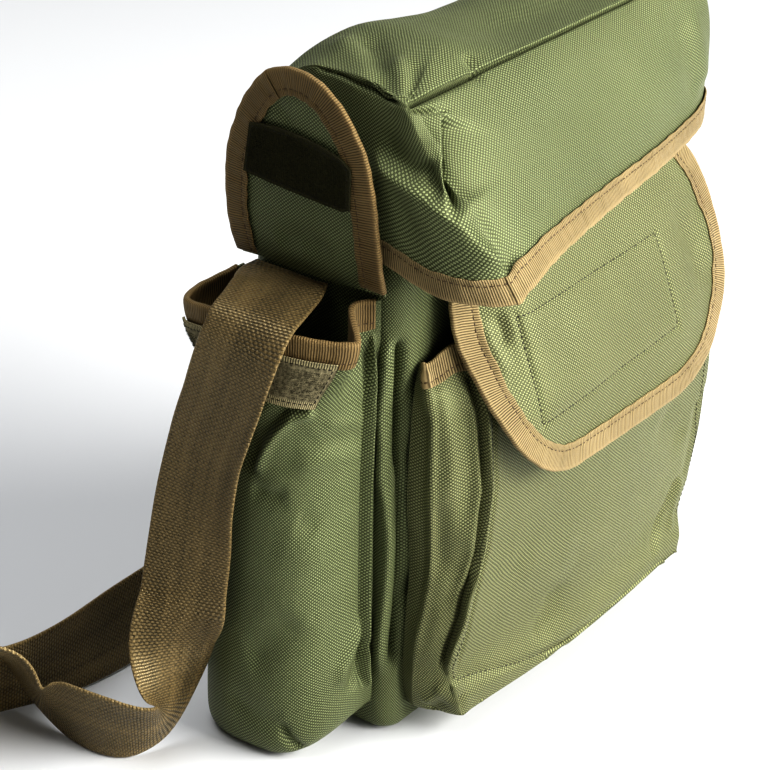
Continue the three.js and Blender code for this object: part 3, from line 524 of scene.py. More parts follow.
def ear_point(y, z):
    y, z = np.broadcast_arrays(np.asarray(y, float), np.asarray(z, float))
    return vec(LEAN["x"](z) - 2 * bump(y, 4, 60), y, z)


ear_walk, ear_length = outline_walk(
    [(b, z) for z, f, b in EAR_OUTLINE] + [(5, 353.9)] + [(f, z) for z, f, b in EAR_OUTLINE[::-1]]
)
ear_fan = fan(ear_walk, lambda t: (mix(16.0, -12.0, t), 248.0 + 0 * t))

HOOK = {"back_top": (31, 322), "front_top": (-28, 315), "front_low": (-27, 290.5), "back_low": (36, 296)}
LOOP = {"from": 0.265, "to": 0.77, "below": 8.5, "tall": 26.5}

# --------------------------------------------------------- shoulder strap ----
STRAP_DOWN = [
    (-129.3, 16.5, 244, 0, -1, 0),
    (-133.5, 16.5, 244.2, 0, -1, 0),
    (-138.5, 14.5, 244.6, 0.06, -0.99, -0.03),
    (-147, 9.8, 245, 0.15, -0.985, -0.08),
    (-162, 5.2, 243.8, 0.15, -0.985, -0.08),
    (-175.5, 2.8, 240.4, 0.14, -0.985, -0.08),
    (-183, 2.8, 231.6, 0.1, -0.99, -0.05),
    (-186, 6.2, 218.9, 0.05, -1, 0),
    (-187.5, 14, 194, 0, -1, 0.06),
    (-187.5, 22.5, 170, 0, -0.99, 0.12),
    (-189.5, 27.5, 141, 0.11, -0.99, 0.13),
    (-192, 29.5, 115, 0.26, -0.96, 0.14),
    (-195, 30.5, 94, 0.34, -0.93, 0.17),
]
STRAP_TWIST = [
    (-198, 30, 82, 0.42, -0.88, 0.22),
    (-198.5, 34, 70, 0.55, -0.79, 0.27),
    (-198.5, 36.5, 59, 0.8, -0.56, 0.14),
    (-201, 34.5, 47, 0.95, -0.27, -0.1),
    (-203, 33, 35, 0.92, 0.1, -0.36),
    (-207.5, 31.8, 25.5, 0.74, 0.36, -0.56),
    (-214.5, 31.5, 21, 0.48, 0.42, -0.76),
    (-222.5, 36, 20.8, 0.25, 0.33, -0.91),
    (-229.5, 48, 21.6, 0.14, 0.28, -0.95),
    (-233.5, 66, 21.2, 0.14, 0.36, -0.92),
    (-233, 83, 21.5, 0.25, 0.42, -0.87),
]
STRAP_ROUND = [
    (-236, 97, 29, 0.52, 0.45, -0.72),
    (-240, 102, 42, 0.6, 0.52, -0.6),
    (-249, 106, 53, 0.58, 0.5, -0.64),
    (-268, 115, 55, 0.5, 0.42, -0.75),
    (-290, 130, 42, 0.3, 0.25, -0.92),
    (-291, 150, 26, 0, 0.05, -1),
    (-264, 143, 23, 0.05, 0.12, -0.98),
    (-233, 121.5, 21.5, 0.08, 0.2, -0.97),
    (-193, 109.5, 22.5, 0, -0.05, -1),
    (-150, 109, 22, 0, -0.28, -0.96),
    (-110, 111, 22.3, 0, -0.1, -1),
    (-30, 108, 22.3, 0, 0, -1),
    (60, 102, 22.3, 0, 0, -1),
    (132, 88, 24, 0.1, 0.1, -0.98),
    (156, 52, 46, 0.3, 0.6, -0.74),
    (146, 24, 105, 0.1, 0.92, -0.3),
    (135, 11, 165, 0, 0.99, -0.1),
    (129.4, 7, 222, 0, 1, 0),
    (128.7, 7, 236, 0, 1, 0),
]
STRAP = np.array(STRAP_DOWN + STRAP_TWIST + STRAP_ROUND, float)


def catmull(points, t):
    """A centripetal Catmull-Rom curve through the points, t from 0 to 1."""
    pts = np.vstack([2 * points[0] - points[1], points, 2 * points[-1] - points[-2]])
    n = len(points)
    q = np.clip(np.asarray(t, float), 0, 1) * (n - 1)
    i = np.minimum(np.floor(q).astype(int), n - 2)
    w = (q - i)[:, None]
    p0, p1, p2, p3 = pts[i], pts[i + 1], pts[i + 2], pts[i + 3]

    def gap(a, b):
        return np.power(np.sum((a - b) ** 2, 1), 0.25)[:, None]

    d0, d1, d2 = gap(p0, p1), gap(p1, p2), gap(p2, p3)
    d1 = np.where(d1 < 1e-4, 1.0, d1)
    d0 = np.where(d0 < 1e-4, d1, d0)
    d2 = np.where(d2 < 1e-4, d1, d2)
    t1 = ((p1 - p0) / d0 - (p2 - p0) / (d0 + d1) + (p2 - p1) / d1) * d1
    t2 = ((p2 - p1) / d1 - (p3 - p1) / (d1 + d2) + (p3 - p2) / d2) * d1
    return p1 + t1 * w + (-3 * p1 + 3 * p2 - 2 * t1 - t2) * w**2 + (2 * p1 - 2 * p2 + t1 + t2) * w**3


def strap_frame(t):
    mid = catmull(STRAP[:, :3], t)
    tangent = unit(catmull(STRAP[:, :3], np.minimum(1, t + 1e-4)) - catmull(STRAP[:, :3], np.maximum(0, t - 1e-4)))
    e = catmull(unit(STRAP[:, 3:]), t)
    e = unit(e - tangent * np.sum(e * tangent, 1, keepdims=True))
    return mid, tangent, e, unit(np.cross(tangent, e))

# ---------------------------------------------------- creases on each piece ----
# A fold's first width is on its right where it runs down, and above it where it
# runs to the right, as seen from outside.
BODY_FOLDS = [
    ripples(1, 0.7, (60.0, 95.0)),
    Fold([(-125.2, -39.3, 226), (-125.6, -39.1, 207), (-126.4, -37.7, 184.4), (-126.2, -38.5, 165), (-126.3, -38.2, 151), (-125.4, -40.2, 136.4), (-124.4, -41.6, 115.3), (-124.9, -40.9, 86), (-126, -39.1, 56.7), (-126.2, -38.7, 32.4)], 4.4, 2.6, 3.4, ends=(0.05, 0.1)),
    Fold([(-121.5, -43.4, 225), (-121.5, -43.6, 207), (-122, -43.4, 187), (-122, -43.6, 164), (-120, -45, 148.6), (-119.6, -45.3, 132), (-119.3, -45.4, 108), (-120, -45, 79), (-121.6, -43.8, 56.7), (-122.5, -43, 34.8)], -9.5, 4.2, 1.7, ends=(0.05, 0.1)),
    Fold([(-122.6, -43.2, 164.3), (-113.1, -45.5, 157.1), (-103, -45.5, 154)], -1.6, 9, 5, ends=(0.1, 0)),
    Fold([(-119.2, -45, 73.2), (-110.3, -45.5, 81.8), (-100.1, -45.5, 92.5)], -2.6, 6, 5, ends=(0.15, 0)),
    Fold([(-122, -43.4, 192.4), (-114.3, -45.5, 193.6), (-106.1, -45.5, 200)], -2.0, 6, 5, ends=(0.15, 0)),
    # Slack folds of the back and the right side.
    Fold([(-70, 45.5, 250), (-40, 45.5, 180), (-25, 45.5, 110)], -3.0, 16, 22),
    Fold([(80, 45.5, 270), (62, 45.5, 200), (70, 45.5, 120)], -2.6, 20, 14),
    Fold([(-110, 45.5, 60), (-30, 45.5, 34), (60, 45.5, 40), (112, 45.5, 62)], -2.4, 16, 9),
    Fold([(127, -30, 210), (127, 0, 190), (127, 28, 200)], -2.2, 12, 8),
    Fold([(127, -32, 70), (127, 0, 86), (127, 30, 66)], -2.4, 10, 14),
    Fold([(127, -20, 150), (127, 10, 128), (127, 34, 96)], 1.6, 10, 10),
]
EAR_LAP = [(-122.6, -44.6, 343), (-120.6, -47.9, 340.6), (-114, -50.4, 338.3), (-106.8, -52.4, 336.2), (-110.8, -56.4, 331.3), (-114.6, -60.4, 325.9), (-119.1, -64.9, 318.1), (-121.4, -68.2, 310), (-122.3, -71.8, 301.3), (-121.8, -75, 295)]
LID_FOLDS = [
    ripples(2, 0.6, (60.0, 95.0)),
    # The dog-ear at the corner: the side's cloth laps over the front panel.
    Fold(EAR_LAP[:4], 2.2, 0.9, 5, power=1.6, ends=(0.15, 0.0), below=342.0),
    Fold(EAR_LAP[:4], -6.5, 2.8, 0.9, power=1.5, ends=(0.15, 0.0), below=342.0),
    Fold(EAR_LAP[3:], 3.2, 0.9, 7, power=1.5, ends=(0.0, 0.3), below=342.0),
    Fold(EAR_LAP[3:], -7.0, 14, 0.9, power=1.4, ends=(0.08, 0.3), below=342.0),
    Fold(EAR_LAP[3:], -8.0, 2.6, 0.9, power=1.8, ends=(0.05, 0.25), below=342.0),
    Fold([(-124.6, -56.9, 322.4), (-124.4, -60, 316), (-124.2, -64.5, 308.2), (-123.8, -68.6, 302.3)], -6.0, 4.6, 6.5, ends=(0.25, 0.3)),
    Fold([(-125.4, -27, 320), (-125.9, -36.7, 312), (-125.9, -49.7, 308.4), (-126, -59.7, 304.4), (-124.4, -69.1, 298.4), (-120.7, -78.2, 290.9), (-116.4, -86.4, 281.2), (-110.2, -94.8, 271.4)], 6.4, 3.2, 12, power=1.25, ends=(0.2, 0.12)),
    Fold([(-124.9, -31, 327), (-125.7, -41.2, 317.8), (-126, -49.3, 314.3), (-125.9, -56.4, 311.1)], -3.4, 8, 4, ends=(0.3, 0.2)),
    Fold([(-121, -76.5, 297), (-116.5, -84, 288), (-110, -92, 279), (-104, -98, 270)], -2.6, 9, 4, ends=(0.3, 0.15)),
    # The front panel starts in a groove under the top panel's edge.
    Fold([(-122.1, -45.2, 343.2), (-113.4, -45.4, 343.2), (-96.7, -45.4, 343.2), (-85.1, -45.4, 343.2), (-67, -45.4, 343.2), (-50, -45.4, 343.2), (-32, -45.4, 343.2), (0, -45.4, 343.2), (40, -45.4, 343.2), (80, -45.4, 343.2), (118, -45.4, 343.2)], -5.0, 0.9, 1.1, power=2.0, ends=(0.02, 0.1)),
    Fold([(-122.1, -45.2, 343.2), (-113.4, -45.4, 343.2), (-96.7, -45.4, 343.2), (-85.1, -45.4, 343.2), (-64, -45.4, 343.2)], -4.0, 1.1, 2.2, power=2.0, ends=(0.1, 0.3)),
    Fold([(-120.8, 10, 348), (-120.8, -2.4, 348.6), (-121.3, -9.7, 348), (-121.9, -19.4, 346.5), (-122.8, -30.4, 345), (-123.1, -42.2, 342.9)], -2.8, 1.0, 1.3, power=2.0, ends=(0.15, 0.1)),
    # The top panel's edge stands over that groove.
    Fold([(-119, -45.0, 344.4), (-113.4, -45.0, 344.4), (-96.7, -45.0, 344.4), (-67, -45.0, 344.4), (-32, -45.0, 344.4), (40, -45.0, 344.4), (118, -45.0, 344.4)], 0.7, 1.6, 0.8, power=2.0, ends=(0.02, 0.1)),
    # Creases of the top panel drawn to the corner.
    Fold([(-84, 24, 350), (-98.9, 5.3, 353.2), (-107.4, -9.2, 351.7), (-119, -28, 347)], 2.6, 7, 8, ends=(0.3, 0.2)),
    Fold([(-75.1, 16.9, 353.2), (-97.3, -8.3, 353.5), (-112, -24, 350.5), (-122, -40.7, 345)], -3.8, 6, 7, ends=(0.35, 0.1)),
    Fold([(-95, -18, 354), (-103, -25.5, 352.3), (-111.3, -33.7, 348.8), (-120.3, -42.1, 345.2)], 2.4, 4, 4.5, ends=(0.3, 0.1)),
    Fold([(-88, -27, 354), (-97, -32, 351.5), (-105.8, -37.5, 349), (-118.5, -43.6, 344.8)], -3.2, 4, 4, ends=(0.4, 0.1)),
    Fold([(-70, -20, 355), (-30, -24, 349), (20, -26, 346), (60, -26, 346), (100, -24, 348)], -2.4, 12, 14, ends=(0.3, 0.3)),
    Fold([(-64, -36, 351), (-67, -41, 348), (-69, -45.5, 343), (-70, -49, 338)], -2.6, 2.6, 3.2, ends=(0.3, 0.2)),
    Fold([(70, 20, 347), (95, -10, 350), (118, -38, 346)], -2.6, 9, 9, ends=(0.3, 0.1)),
    # Slow hollows of the front panel.
    Fold([(-60, -70, 318), (0, -66, 312), (60, -62, 316)], -1.6, 16, 20, ends=(0.3, 0.3)),
    Fold([(108, -58, 330), (116, -62, 306), (118, -60, 284)], 2.0, 8, 9, ends=(0.3, 0.2)),
    Fold([(88, -56, 334), (98, -62, 306), (100, -64, 282)], -1.8, 9, 9, ends=(0.3, 0.2)),
]
PINCH = [(-90.7, -62.5, 204.3), (-93, -70.7, 191.6), (-93.5, -74, 185.4), (-95, -77.6, 170.5), (-95.1, -79.4, 157.5), (-94.4, -80, 142.8), (-96.2, -79.9, 130.2), (-97.4, -79, 108.6), (-100.7, -78, 95.8), (-103.3, -75.7, 85.4), (-104.7, -73.8, 70.4), (-106.4, -69.9, 55.9), (-107.3, -67.4, 43.8), (-107, -69.5, 34.4)]
PINCH_UV = [(0.1702, 0.9379), (0.1645, 0.8637), (0.166, 0.8176), (0.1674, 0.7154), (0.1788, 0.6573), (0.19, 0.5992), (0.1888, 0.5491), (0.1917, 0.4689), (0.186, 0.4228), (0.17, 0.3868), (0.1645, 0.3367), (0.1565, 0.2846), (0.156, 0.2365), (0.176, 0.2004)]


def on_pocket(*at):
    """Points of the front pocket's face at (u, v)."""
    return pocket_base([a for a, _ in at], [b for _, b in at])


POCKET_FOLDS = [
    ripples(3, 0.6, (55.0, 85.0)),
    Fold(PINCH, 2.8, 1.6, 1.1, ends=(0.02, 0.12)),
    Fold([(x - 0.9, y + 2.5, z) for x, y, z in PINCH], -5.2, 1.1, 1.8, ends=(0.05, 0.12)),
    Fold([(x + 5.0, y - 0.6, z) for x, y, z in PINCH], -1.1, 1.6, 1.4, ends=(0.05, 0.1)),
    # The gusset's bellows edge and its slack folds.
    Fold(on_pocket((0.055, 0.99), (0.055, 0.9), (0.057, 0.8), (0.053, 0.7), (0.056, 0.6), (0.054, 0.5), (0.056, 0.4), (0.055, 0.3), (0.055, 0.2)), 1.4, 2.4, 2.0, ends=(0.02, 0.15)),
    Fold(on_pocket((0.13, 0.88), (0.135, 0.74), (0.14, 0.62), (0.14, 0.5)), -2.4, 5, 6, ends=(0.2, 0.3)),
    Fold(on_pocket((0.075, 0.95), (0.085, 0.8), (0.1, 0.66), (0.085, 0.55)), 1.8, 5, 5, ends=(0.1, 0.3)),
    Fold(on_pocket((0.07, 0.6), (0.078, 0.5), (0.095, 0.4)), -2.0, 5, 4, ends=(0.25, 0.3)),
    Fold(on_pocket((0.1, 0.46), (0.1, 0.35), (0.09, 0.22)), 1.8, 6, 6, ends=(0.25, 0.2)),
    Fold(on_pocket((0.15, 0.5), (0.12, 0.41), (0.1, 0.34)), -1.8, 4, 5, ends=(0.2, 0.3)),
    Fold(on_pocket((0.03, 0.9), (0.028, 0.7), (0.03, 0.5), (0.028, 0.3)), -1.6, 4, 4, ends=(0.1, 0.15)),
    # The folded bottom corner.
    Fold([(-104.5, -54, 24), (-105, -62, 29), (-105.8, -69.5, 33.2)], 2.0, 3.2, 5, ends=(0.2, 0.2)),
    Fold([(-104.5, -56, 17), (-104.8, -62, 20.5), (-105.2, -67, 25)], -2.2, 4, 4, ends=(0.25, 0.25)),
    Fold([(-106.2, -70.1, 33.8), (-86.9, -72.9, 30.3), (-65.3, -76.6, 25.2), (-43, -78.6, 19.9), (-16.9, -79.4, 15.6), (14.4, -79.3, 14.4), (53, -77.5, 14.2), (93.6, -75, 14.1)], -1.5, 2.2, 2.0, ends=(0.05, 0.05)),
    Fold([(-26.1, -78, 60), (-31.5, -77.3, 40), (-42.1, -78.5, 26)], -3.0, 12, 9, ends=(0.3, 0.2)),
    Fold([(-70, -78, 90), (-40, -80, 74), (-8, -80, 70)], 1.6, 14, 14, ends=(0.3, 0.3)),
    Fold([(60, -80, 120), (84, -79, 100), (100, -76, 90)], -2.2, 10, 9, ends=(0.3, 0.3)),
    Fold([(101, -74, 66), (95, -76.5, 50), (84, -78, 34), (74, -79, 22)], -2.6, 3.0, 6, ends=(0.15, 0.2)),
    Fold([(106, -70, 62), (103, -74, 44), (99, -76, 26)], 2.0, 4, 4, ends=(0.2, 0.2)),
    Fold([(0, -82, 160), (40, -82, 140), (84, -80, 132)], 1.4, 14, 12, ends=(0.3, 0.3)),
    Fold([(106, -60, 180), (108, -60, 130), (108, -60, 80), (107, -60, 40)], -2.0, 6, 6, ends=(0.15, 0.2)),
]
# The stitched patch on the front flap, as pairs of (x, z).
FLAP_PATCH = [((-68.7, 225.1), (-70.5, 173.7)), ((-70.5, 173.7), (54.5, 179.9)), ((54.9, 227.4), (54.5, 179.9)), ((-68.7, 225.1), (54.9, 227.4))]
FLAP_FOLDS = [
    ripples(4, 0.5, (48.0, 80.0)),
    Fold([(-68.7, -74.6, 226), (-69.5, -84, 200), (-70.5, -94, 173)], -0.9, 1.5, 1.5, ends=(0, 0)),
    Fold([(54.9, -76.2, 228), (54.7, -86, 204), (54.5, -93.8, 179)], -0.9, 1.5, 1.5, ends=(0, 0)),
    Fold([(-68.7, -76, 225.1), (-10, -77, 226), (54.9, -76.2, 227.4)], -0.6, 1.3, 1.3, ends=(0, 0)),
    Fold([(-70.5, -94, 173.7), (0, -95, 177), (54.5, -93.8, 179.9)], -0.6, 1.3, 1.3, ends=(0, 0)),
    Fold([(-77.7, -67, 231), (-77, -71.7, 220.6), (-78, -75.5, 212)], -1.8, 3.6, 4.2, ends=(0.3, 0.3)),
    Fold([(-84, -66, 226), (-83.5, -74, 212), (-82, -82, 198)], 1.4, 4, 4, ends=(0.3, 0.3)),
    Fold([(-74, -90, 184), (-40, -92, 180), (0, -94, 178)], 1.0, 10, 8, ends=(0.3, 0.4)),
    Fold([(-40, -80, 214), (0, -86, 202), (40, -84, 206)], 1.3, 14, 16, ends=(0.3, 0.3)),
    Fold([(76, -72, 236), (88, -82, 210), (86, -90, 186)], -1.8, 7, 8, ends=(0.3, 0.3)),
    Fold([(104, -70, 226), (106, -78, 208), (100, -86, 190)], 1.8, 5, 7, ends=(0.3, 0.3)),
]
SIDE_FOLDS = [
    ripples(5, 0.6, (55.0, 90.0)),
    Fold([(-162.7, -26.7, 197), (-170.5, -17.6, 193.7), (-173.6, -11.8, 186.1), (-175.5, -6.7, 177.1), (-176.5, -3.3, 168.2), (-177.1, -1.5, 160)], 3.6, 2.4, 2.4, power=1.6, ends=(0.1, 0.15)),
    Fold([(-164.5, -25.6, 201), (-172.6, -14.4, 197.5), (-175.6, -7.4, 188), (-177, -2.4, 178), (-177.6, 1.4, 168), (-178, 3.4, 158)], -2.6, 2.6, 5.0, ends=(0.15, 0.2)),
    Fold([(-165, -24.5, 188), (-170.9, -18.3, 176.2), (-174.9, -11.7, 162)], -1.2, 8, 5, ends=(0.2, 0.15)),
    Fold([(-176.5, 6, 190), (-177.5, 4, 176), (-178, 6, 160)], -2.2, 6, 7, ends=(0.25, 0.3)),
    Fold([(-161.2, -27.4, 189.6), (-149.6, -32.2, 186.9), (-133.9, -34.1, 182.9)], 1.0, 4, 4, ends=(0.2, 0.2)),
    Fold([(-168.9, -20.8, 180.2), (-156.4, -29.8, 180.2), (-135.1, -33.9, 174.9)], -0.9, 4, 4, ends=(0.2, 0.2)),
    Fold([(-171.8, -17.5, 168), (-157.3, -29.4, 169.6), (-134.6, -33.8, 165.9)], 1.0, 4.5, 4.5, ends=(0.2, 0.2)),
    Fold([(-177.6, 2, 153.5), (-176.2, -8.8, 151.6), (-172.2, -17.6, 153)], -2.6, 2.6, 5.5, ends=(0.2, 0.3)),
    Fold([(-171.1, -19.7, 139.5), (-166.7, -24, 137.2), (-162.9, -26.7, 131.7)], -1.3, 6, 6, ends=(0.3, 0.3)),
    Fold([(-176, -10, 128), (-168, -22, 122), (-158, -28, 110)], 1.2, 12, 12, ends=(0.3, 0.3)),
    Fold([(-180.5, 6, 58), (-180, -3.2, 60.7), (-176.3, -13.9, 74.4), (-168.9, -23, 84.3)], -2.8, 9, 11, ends=(0.2, 0.25)),
    Fold([(-132, -35.6, 228), (-131.6, -34.6, 214.8), (-130.6, -34.1, 181.6), (-130.4, -33.7, 147.9), (-130.4, -33.6, 119.8), (-130.4, -33.6, 85.2), (-130.8, -33.8, 55.5), (-131.8, -35.6, 27.8)], 3.2, 1.3, 1.3, ends=(0.02, 0.03)),
    Fold([(-134.5, -35.2, 226), (-134.4, -34.2, 181.6), (-134.2, -33.8, 147.9), (-134.2, -33.7, 85.2), (-134.6, -33.9, 55.5), (-135.5, -35.6, 29)], -3.4, 1.5, 2.2, ends=(0.05, 0.05)),
    Fold([(-132.3, -33.5, 73), (-141.5, -33.2, 58.7), (-148.5, -32.5, 48), (-150.7, -32.5, 36)], 2.6, 3.0, 4.5, ends=(0.2, 0.2)),
    Fold([(-131.6, -33.7, 58), (-138.7, -33.8, 43.8), (-145.5, -34, 32)], -2.8, 3.4, 2.6, ends=(0.15, 0.2)),
    Fold([(-177.2, -14.3, 24), (-174.7, -18.5, 14.1), (-169.7, -22.2, 7)], -3.6, 2.6, 2.6, ends=(0.3, 0)),
    Fold([(-180.6, 18, 33), (-180.8, 0.2, 24.2), (-175.4, -17.6, 21.3)], -1.6, 8, 6, ends=(0.3, 0.2)),
    Fold([(-150, 48, 150), (-166, 42, 130), (-176, 26, 120)], -2.6, 10, 10, ends=(0.2, 0.3)),
    Fold([(-146, 48, 80), (-164, 44, 62), (-178, 28, 60)], -2.2, 8, 10, ends=(0.2, 0.3)),
]
EAR_FOLDS = [
    ripples(6, 0.4, (40.0, 60.0)),
    Fold([(-137, 20, 262), (-138, 4, 270), (-137, -14, 263)], -1.6, 6, 6, ends=(0.25, 0.25)),
    Fold([(-139, 18, 338), (-139, 10, 330), (-139, 2, 326)], -1.0, 4, 5, ends=(0.2, 0.4)),
]
KEY_POWER, FILL_POWER, TOP_POWER, SKY_POWER, SKY_LEFT = 162.0, 9.0, 22.0, 0.24, 0.07



# ------------------------------------------------------------ mesh making ----
class Build:
    """Collects vertices and faces with a weave coordinate for every corner."""

    def __init__(self):
        self.v, self.faces, self.uv, self.count = [], [], [], 0

    def verts(self, a):
        start = self.count
        a = np.asarray(a, float).reshape(-1, 3)
        self.v.append(a)
        self.count += len(a)
        return start

    def add(self, index, uv):
        self.faces.append(np.asarray(index, int))
        self.uv.append(np.asarray(uv, float))

    def object(self, name, material, flip=False):
        mesh = bpy.data.meshes.new(name)
        faces, uvs = [], []
        for f, t in zip(self.faces, self.uv):
            if flip:
                f, t = f[:, ::-1], t[:, ::-1]
            faces += f.tolist()
            uvs.append(t.reshape(-1, 2))
        mesh.from_pydata((np.vstack(self.v) * 0.001).tolist(), [], faces)
        layer = mesh.uv_layers.new(name="weave")
        layer.data.foreach_set("uv", (np.vstack(uvs) * 0.001).astype(np.float32).ravel())
        mesh.polygons.foreach_set("use_smooth", np.ones(len(faces), bool))
        mesh.materials.append(material)
        mesh.update()
        obj = bpy.data.objects.new(name, mesh)
        bpy.context.scene.collection.objects.link(obj)
        return obj


def grid_normals(p, ring, turn):
    if ring:
        a = np.roll(p, -1, 1) - np.roll(p, 1, 1)
    else:
        a = np.empty_like(p)
        a[:, 1:-1] = p[:, 2:] - p[:, :-2]
        a[:, 0], a[:, -1] = p[:, 1] - p[:, 0], p[:, -1] - p[:, -2]
    b = np.empty_like(p)
    b[1:-1] = p[2:] - p[:-2]
    b[0], b[-1] = p[1] - p[0], p[-1] - p[-2]
    return unit(np.cross(a, b)) * turn


def cloth(name, p, uv, material, thick=CLOTH, ring=False, turn=1, pole=None, limit=None, split=None):
    """A closed cloth wall: p is the outer face's grid, the inner face lies `thick`
    behind it. uv has a column more than p where the grid is a ring. `split` is
    (row, uv): rows below it take the second set of weave coordinates."""
    rows, cols = p.shape[:2]
    n = grid_normals(p, ring, turn)
    inner = p - n * thick
    if limit is not None:
        inner = limit(inner)
    b = Build()
    o, i = b.verts(p), b.verts(inner)
    spans = cols if ring else cols - 1
    r, c = np.meshgrid(np.arange(rows - 1), np.arange(spans), indexing="ij")
    r, c = r.ravel(), c.ravel()
    k = (c + 1) % cols

    def at(rr, cc):
        return rr * cols + cc

    def coords(rr, cc):
        t = uv[rr, cc]
        if split is not None:
            t = np.where((r < split[0])[:, None], split[1][rr, cc], t)
        return t

    quad = np.stack([at(r, c), at(r, k), at(r + 1, k), at(r + 1, c)], 1)
    t = np.stack([coords(r, c), coords(r, c + 1), coords(r + 1, c + 1), coords(r + 1, c)], 1)
    if turn < 0:
        quad, t = quad[:, ::-1], t[:, ::-1]
    b.add(o + quad, t)
    b.add(i + quad[:, ::-1], t[:, ::-1])
    j = np.arange(spans)
    k = (j + 1) % cols

    def rim(row, forward):
        a, d = row * cols + j, row * cols + k
        q = np.stack([o + a, o + d, i + d, i + a], 1)
        w = np.stack([uv[row, j], uv[row, j + 1], uv[row, j + 1], uv[row, j]], 1)
        if forward != (turn > 0):
            q, w = q[:, ::-1], w[:, ::-1]
        b.add(q, w)

    rim(rows - 1, False)
    if pole is None:
        rim(0, True)
    else:
        po, pi = b.verts(pole[0]), b.verts(pole[1])
        source = uv if split is None else split[1]
        mid = source[0, :-1].mean(0)
        tri = np.stack([np.full(spans, po), o + k, o + j], 1)
        w = np.stack([np.broadcast_to(mid, (spans, 2)), source[0, j + 1], source[0, j]], 1)
        tri2 = np.stack([np.full(spans, pi), i + j, i + k], 1)
        w2 = np.stack([np.broadcast_to(mid, (spans, 2)), source[0, j], source[0, j + 1]], 1)
        if turn < 0:
            tri, w, tri2, w2 = tri[:, ::-1], w[:, ::-1], tri2[:, ::-1], w2[:, ::-1]
        b.add(tri, w)
        b.add(tri2, w2)
    if not ring:
        m = np.arange(rows - 1)
        for col, forward in ((0, False), (cols - 1, True)):
            a, d = m * cols + col, (m + 1) * cols + col
            q = np.stack([o + a, o + d, i + d, i + a], 1)
            w = np.stack([uv[m, col], uv[m + 1, col], uv[m + 1, col], uv[m, col]], 1)
            if forward != (turn > 0):
                q, w = q[:, ::-1], w[:, ::-1]
            b.add(q, w)
    return b.object(name, material)


def lengths(p, axis):
    """Mean arc length along a grid's axis, from 0."""
    d = np.linalg.norm(np.diff(p, axis=axis), axis=2).mean(1 - axis)
    return np.concatenate([[0], np.cumsum(d)])


def swept(name, sections, uv, material, closed_ends=True, flip=False):
    """A closed section carried along stations: sections is (stations, sides, 3)."""
    rows, sides = sections.shape[:2]
    b = Build()
    o = b.verts(sections)
    r, c = np.meshgrid(np.arange(rows - 1), np.arange(sides), indexing="ij")
    r, c = r.ravel(), c.ravel()
    k = (c + 1) % sides
    q = np.stack([r * sides + c, r * sides + k, (r + 1) * sides + k, (r + 1) * sides + c], 1)
    w = np.stack([uv[r, c], uv[r, c + 1], uv[r + 1, c + 1], uv[r + 1, c]], 1)
    b.add(o + q, w)
    half = sides // 2
    j = np.arange(half - 1)
    for row, forward in ((0, True), (rows - 1, False)):
        base = row * sides
        q = np.stack([base + j, base + sides - 1 - j, base + sides - 2 - j, base + j + 1], 1)
        w = np.stack([uv[row, j], uv[row, sides - 1 - j], uv[row, sides - 2 - j], uv[row, j + 1]], 1)
        if not forward:
            q, w = q[:, ::-1], w[:, ::-1]
        b.add(o + q, w)
    return b.object(name, material, flip)


# The folded binding's section: distance in from the edge, offset along the
# cloth's normal, distance past the edge. The first half is the outside.
TAPE_OUT = [
    (12.7, 0.3, 0), (12.65, 0.72, 0), (12.3, 0.92, 0), (11.4, 0.97, 0), (10.3, 0.92, 0), (9.8, 0.8, 0), (9.4, 0.72, 0),
    (9.0, 0.8, 0), (8.4, 0.95, 0), (6.8, 1.02, 0), (5.0, 1.05, 0), (3.2, 1.08, 0), (1.6, 1.1, 0), (0.5, 1.06, 0),
    (0, 0.9, 0.45), (0, 0.5, 0.85), (0, -0.1, 1.05), (0, -0.6, 1.1), (0, -1.1, 1.05), (0, -1.7, 0.85), (0, -2.1, 0.45),
    (0.5, -2.26, 0), (1.6, -2.3, 0), (5.0, -2.25, 0), (9.4, -2.1, 0), (12.3, -2.12, 0), (12.65, -1.92, 0), (12.7, -1.5, 0),
]
TAPE_IN = [
    (12.5, -1.34, 0), (12.2, -1.34, 0), (12.0, -1.34, 0), (9.4, -1.34, 0), (5.0, -1.34, 0), (1.6, -1.34, 0), (0.5, -1.34, 0),
    (0, -1.32, 0.1), (0, -1.25, 0.14), (0, -1.0, 0.16), (0, -0.6, 0.16), (0, -0.2, 0.16), (0, 0.05, 0.14), (0, 0.12, 0.1),
    (0.5, 0.14, 0), (1.6, 0.14, 0), (3.2, 0.14, 0), (5.0, 0.14, 0), (6.8, 0.14, 0), (8.4, 0.14, 0), (9.0, 0.14, 0),
    (9.4, 0.14, 0), (9.8, 0.14, 0), (10.3, 0.14, 0), (11.4, 0.14, 0), (12.0, 0.14, 0), (12.2, 0.14, 0), (12.5, 0.14, 0),
]


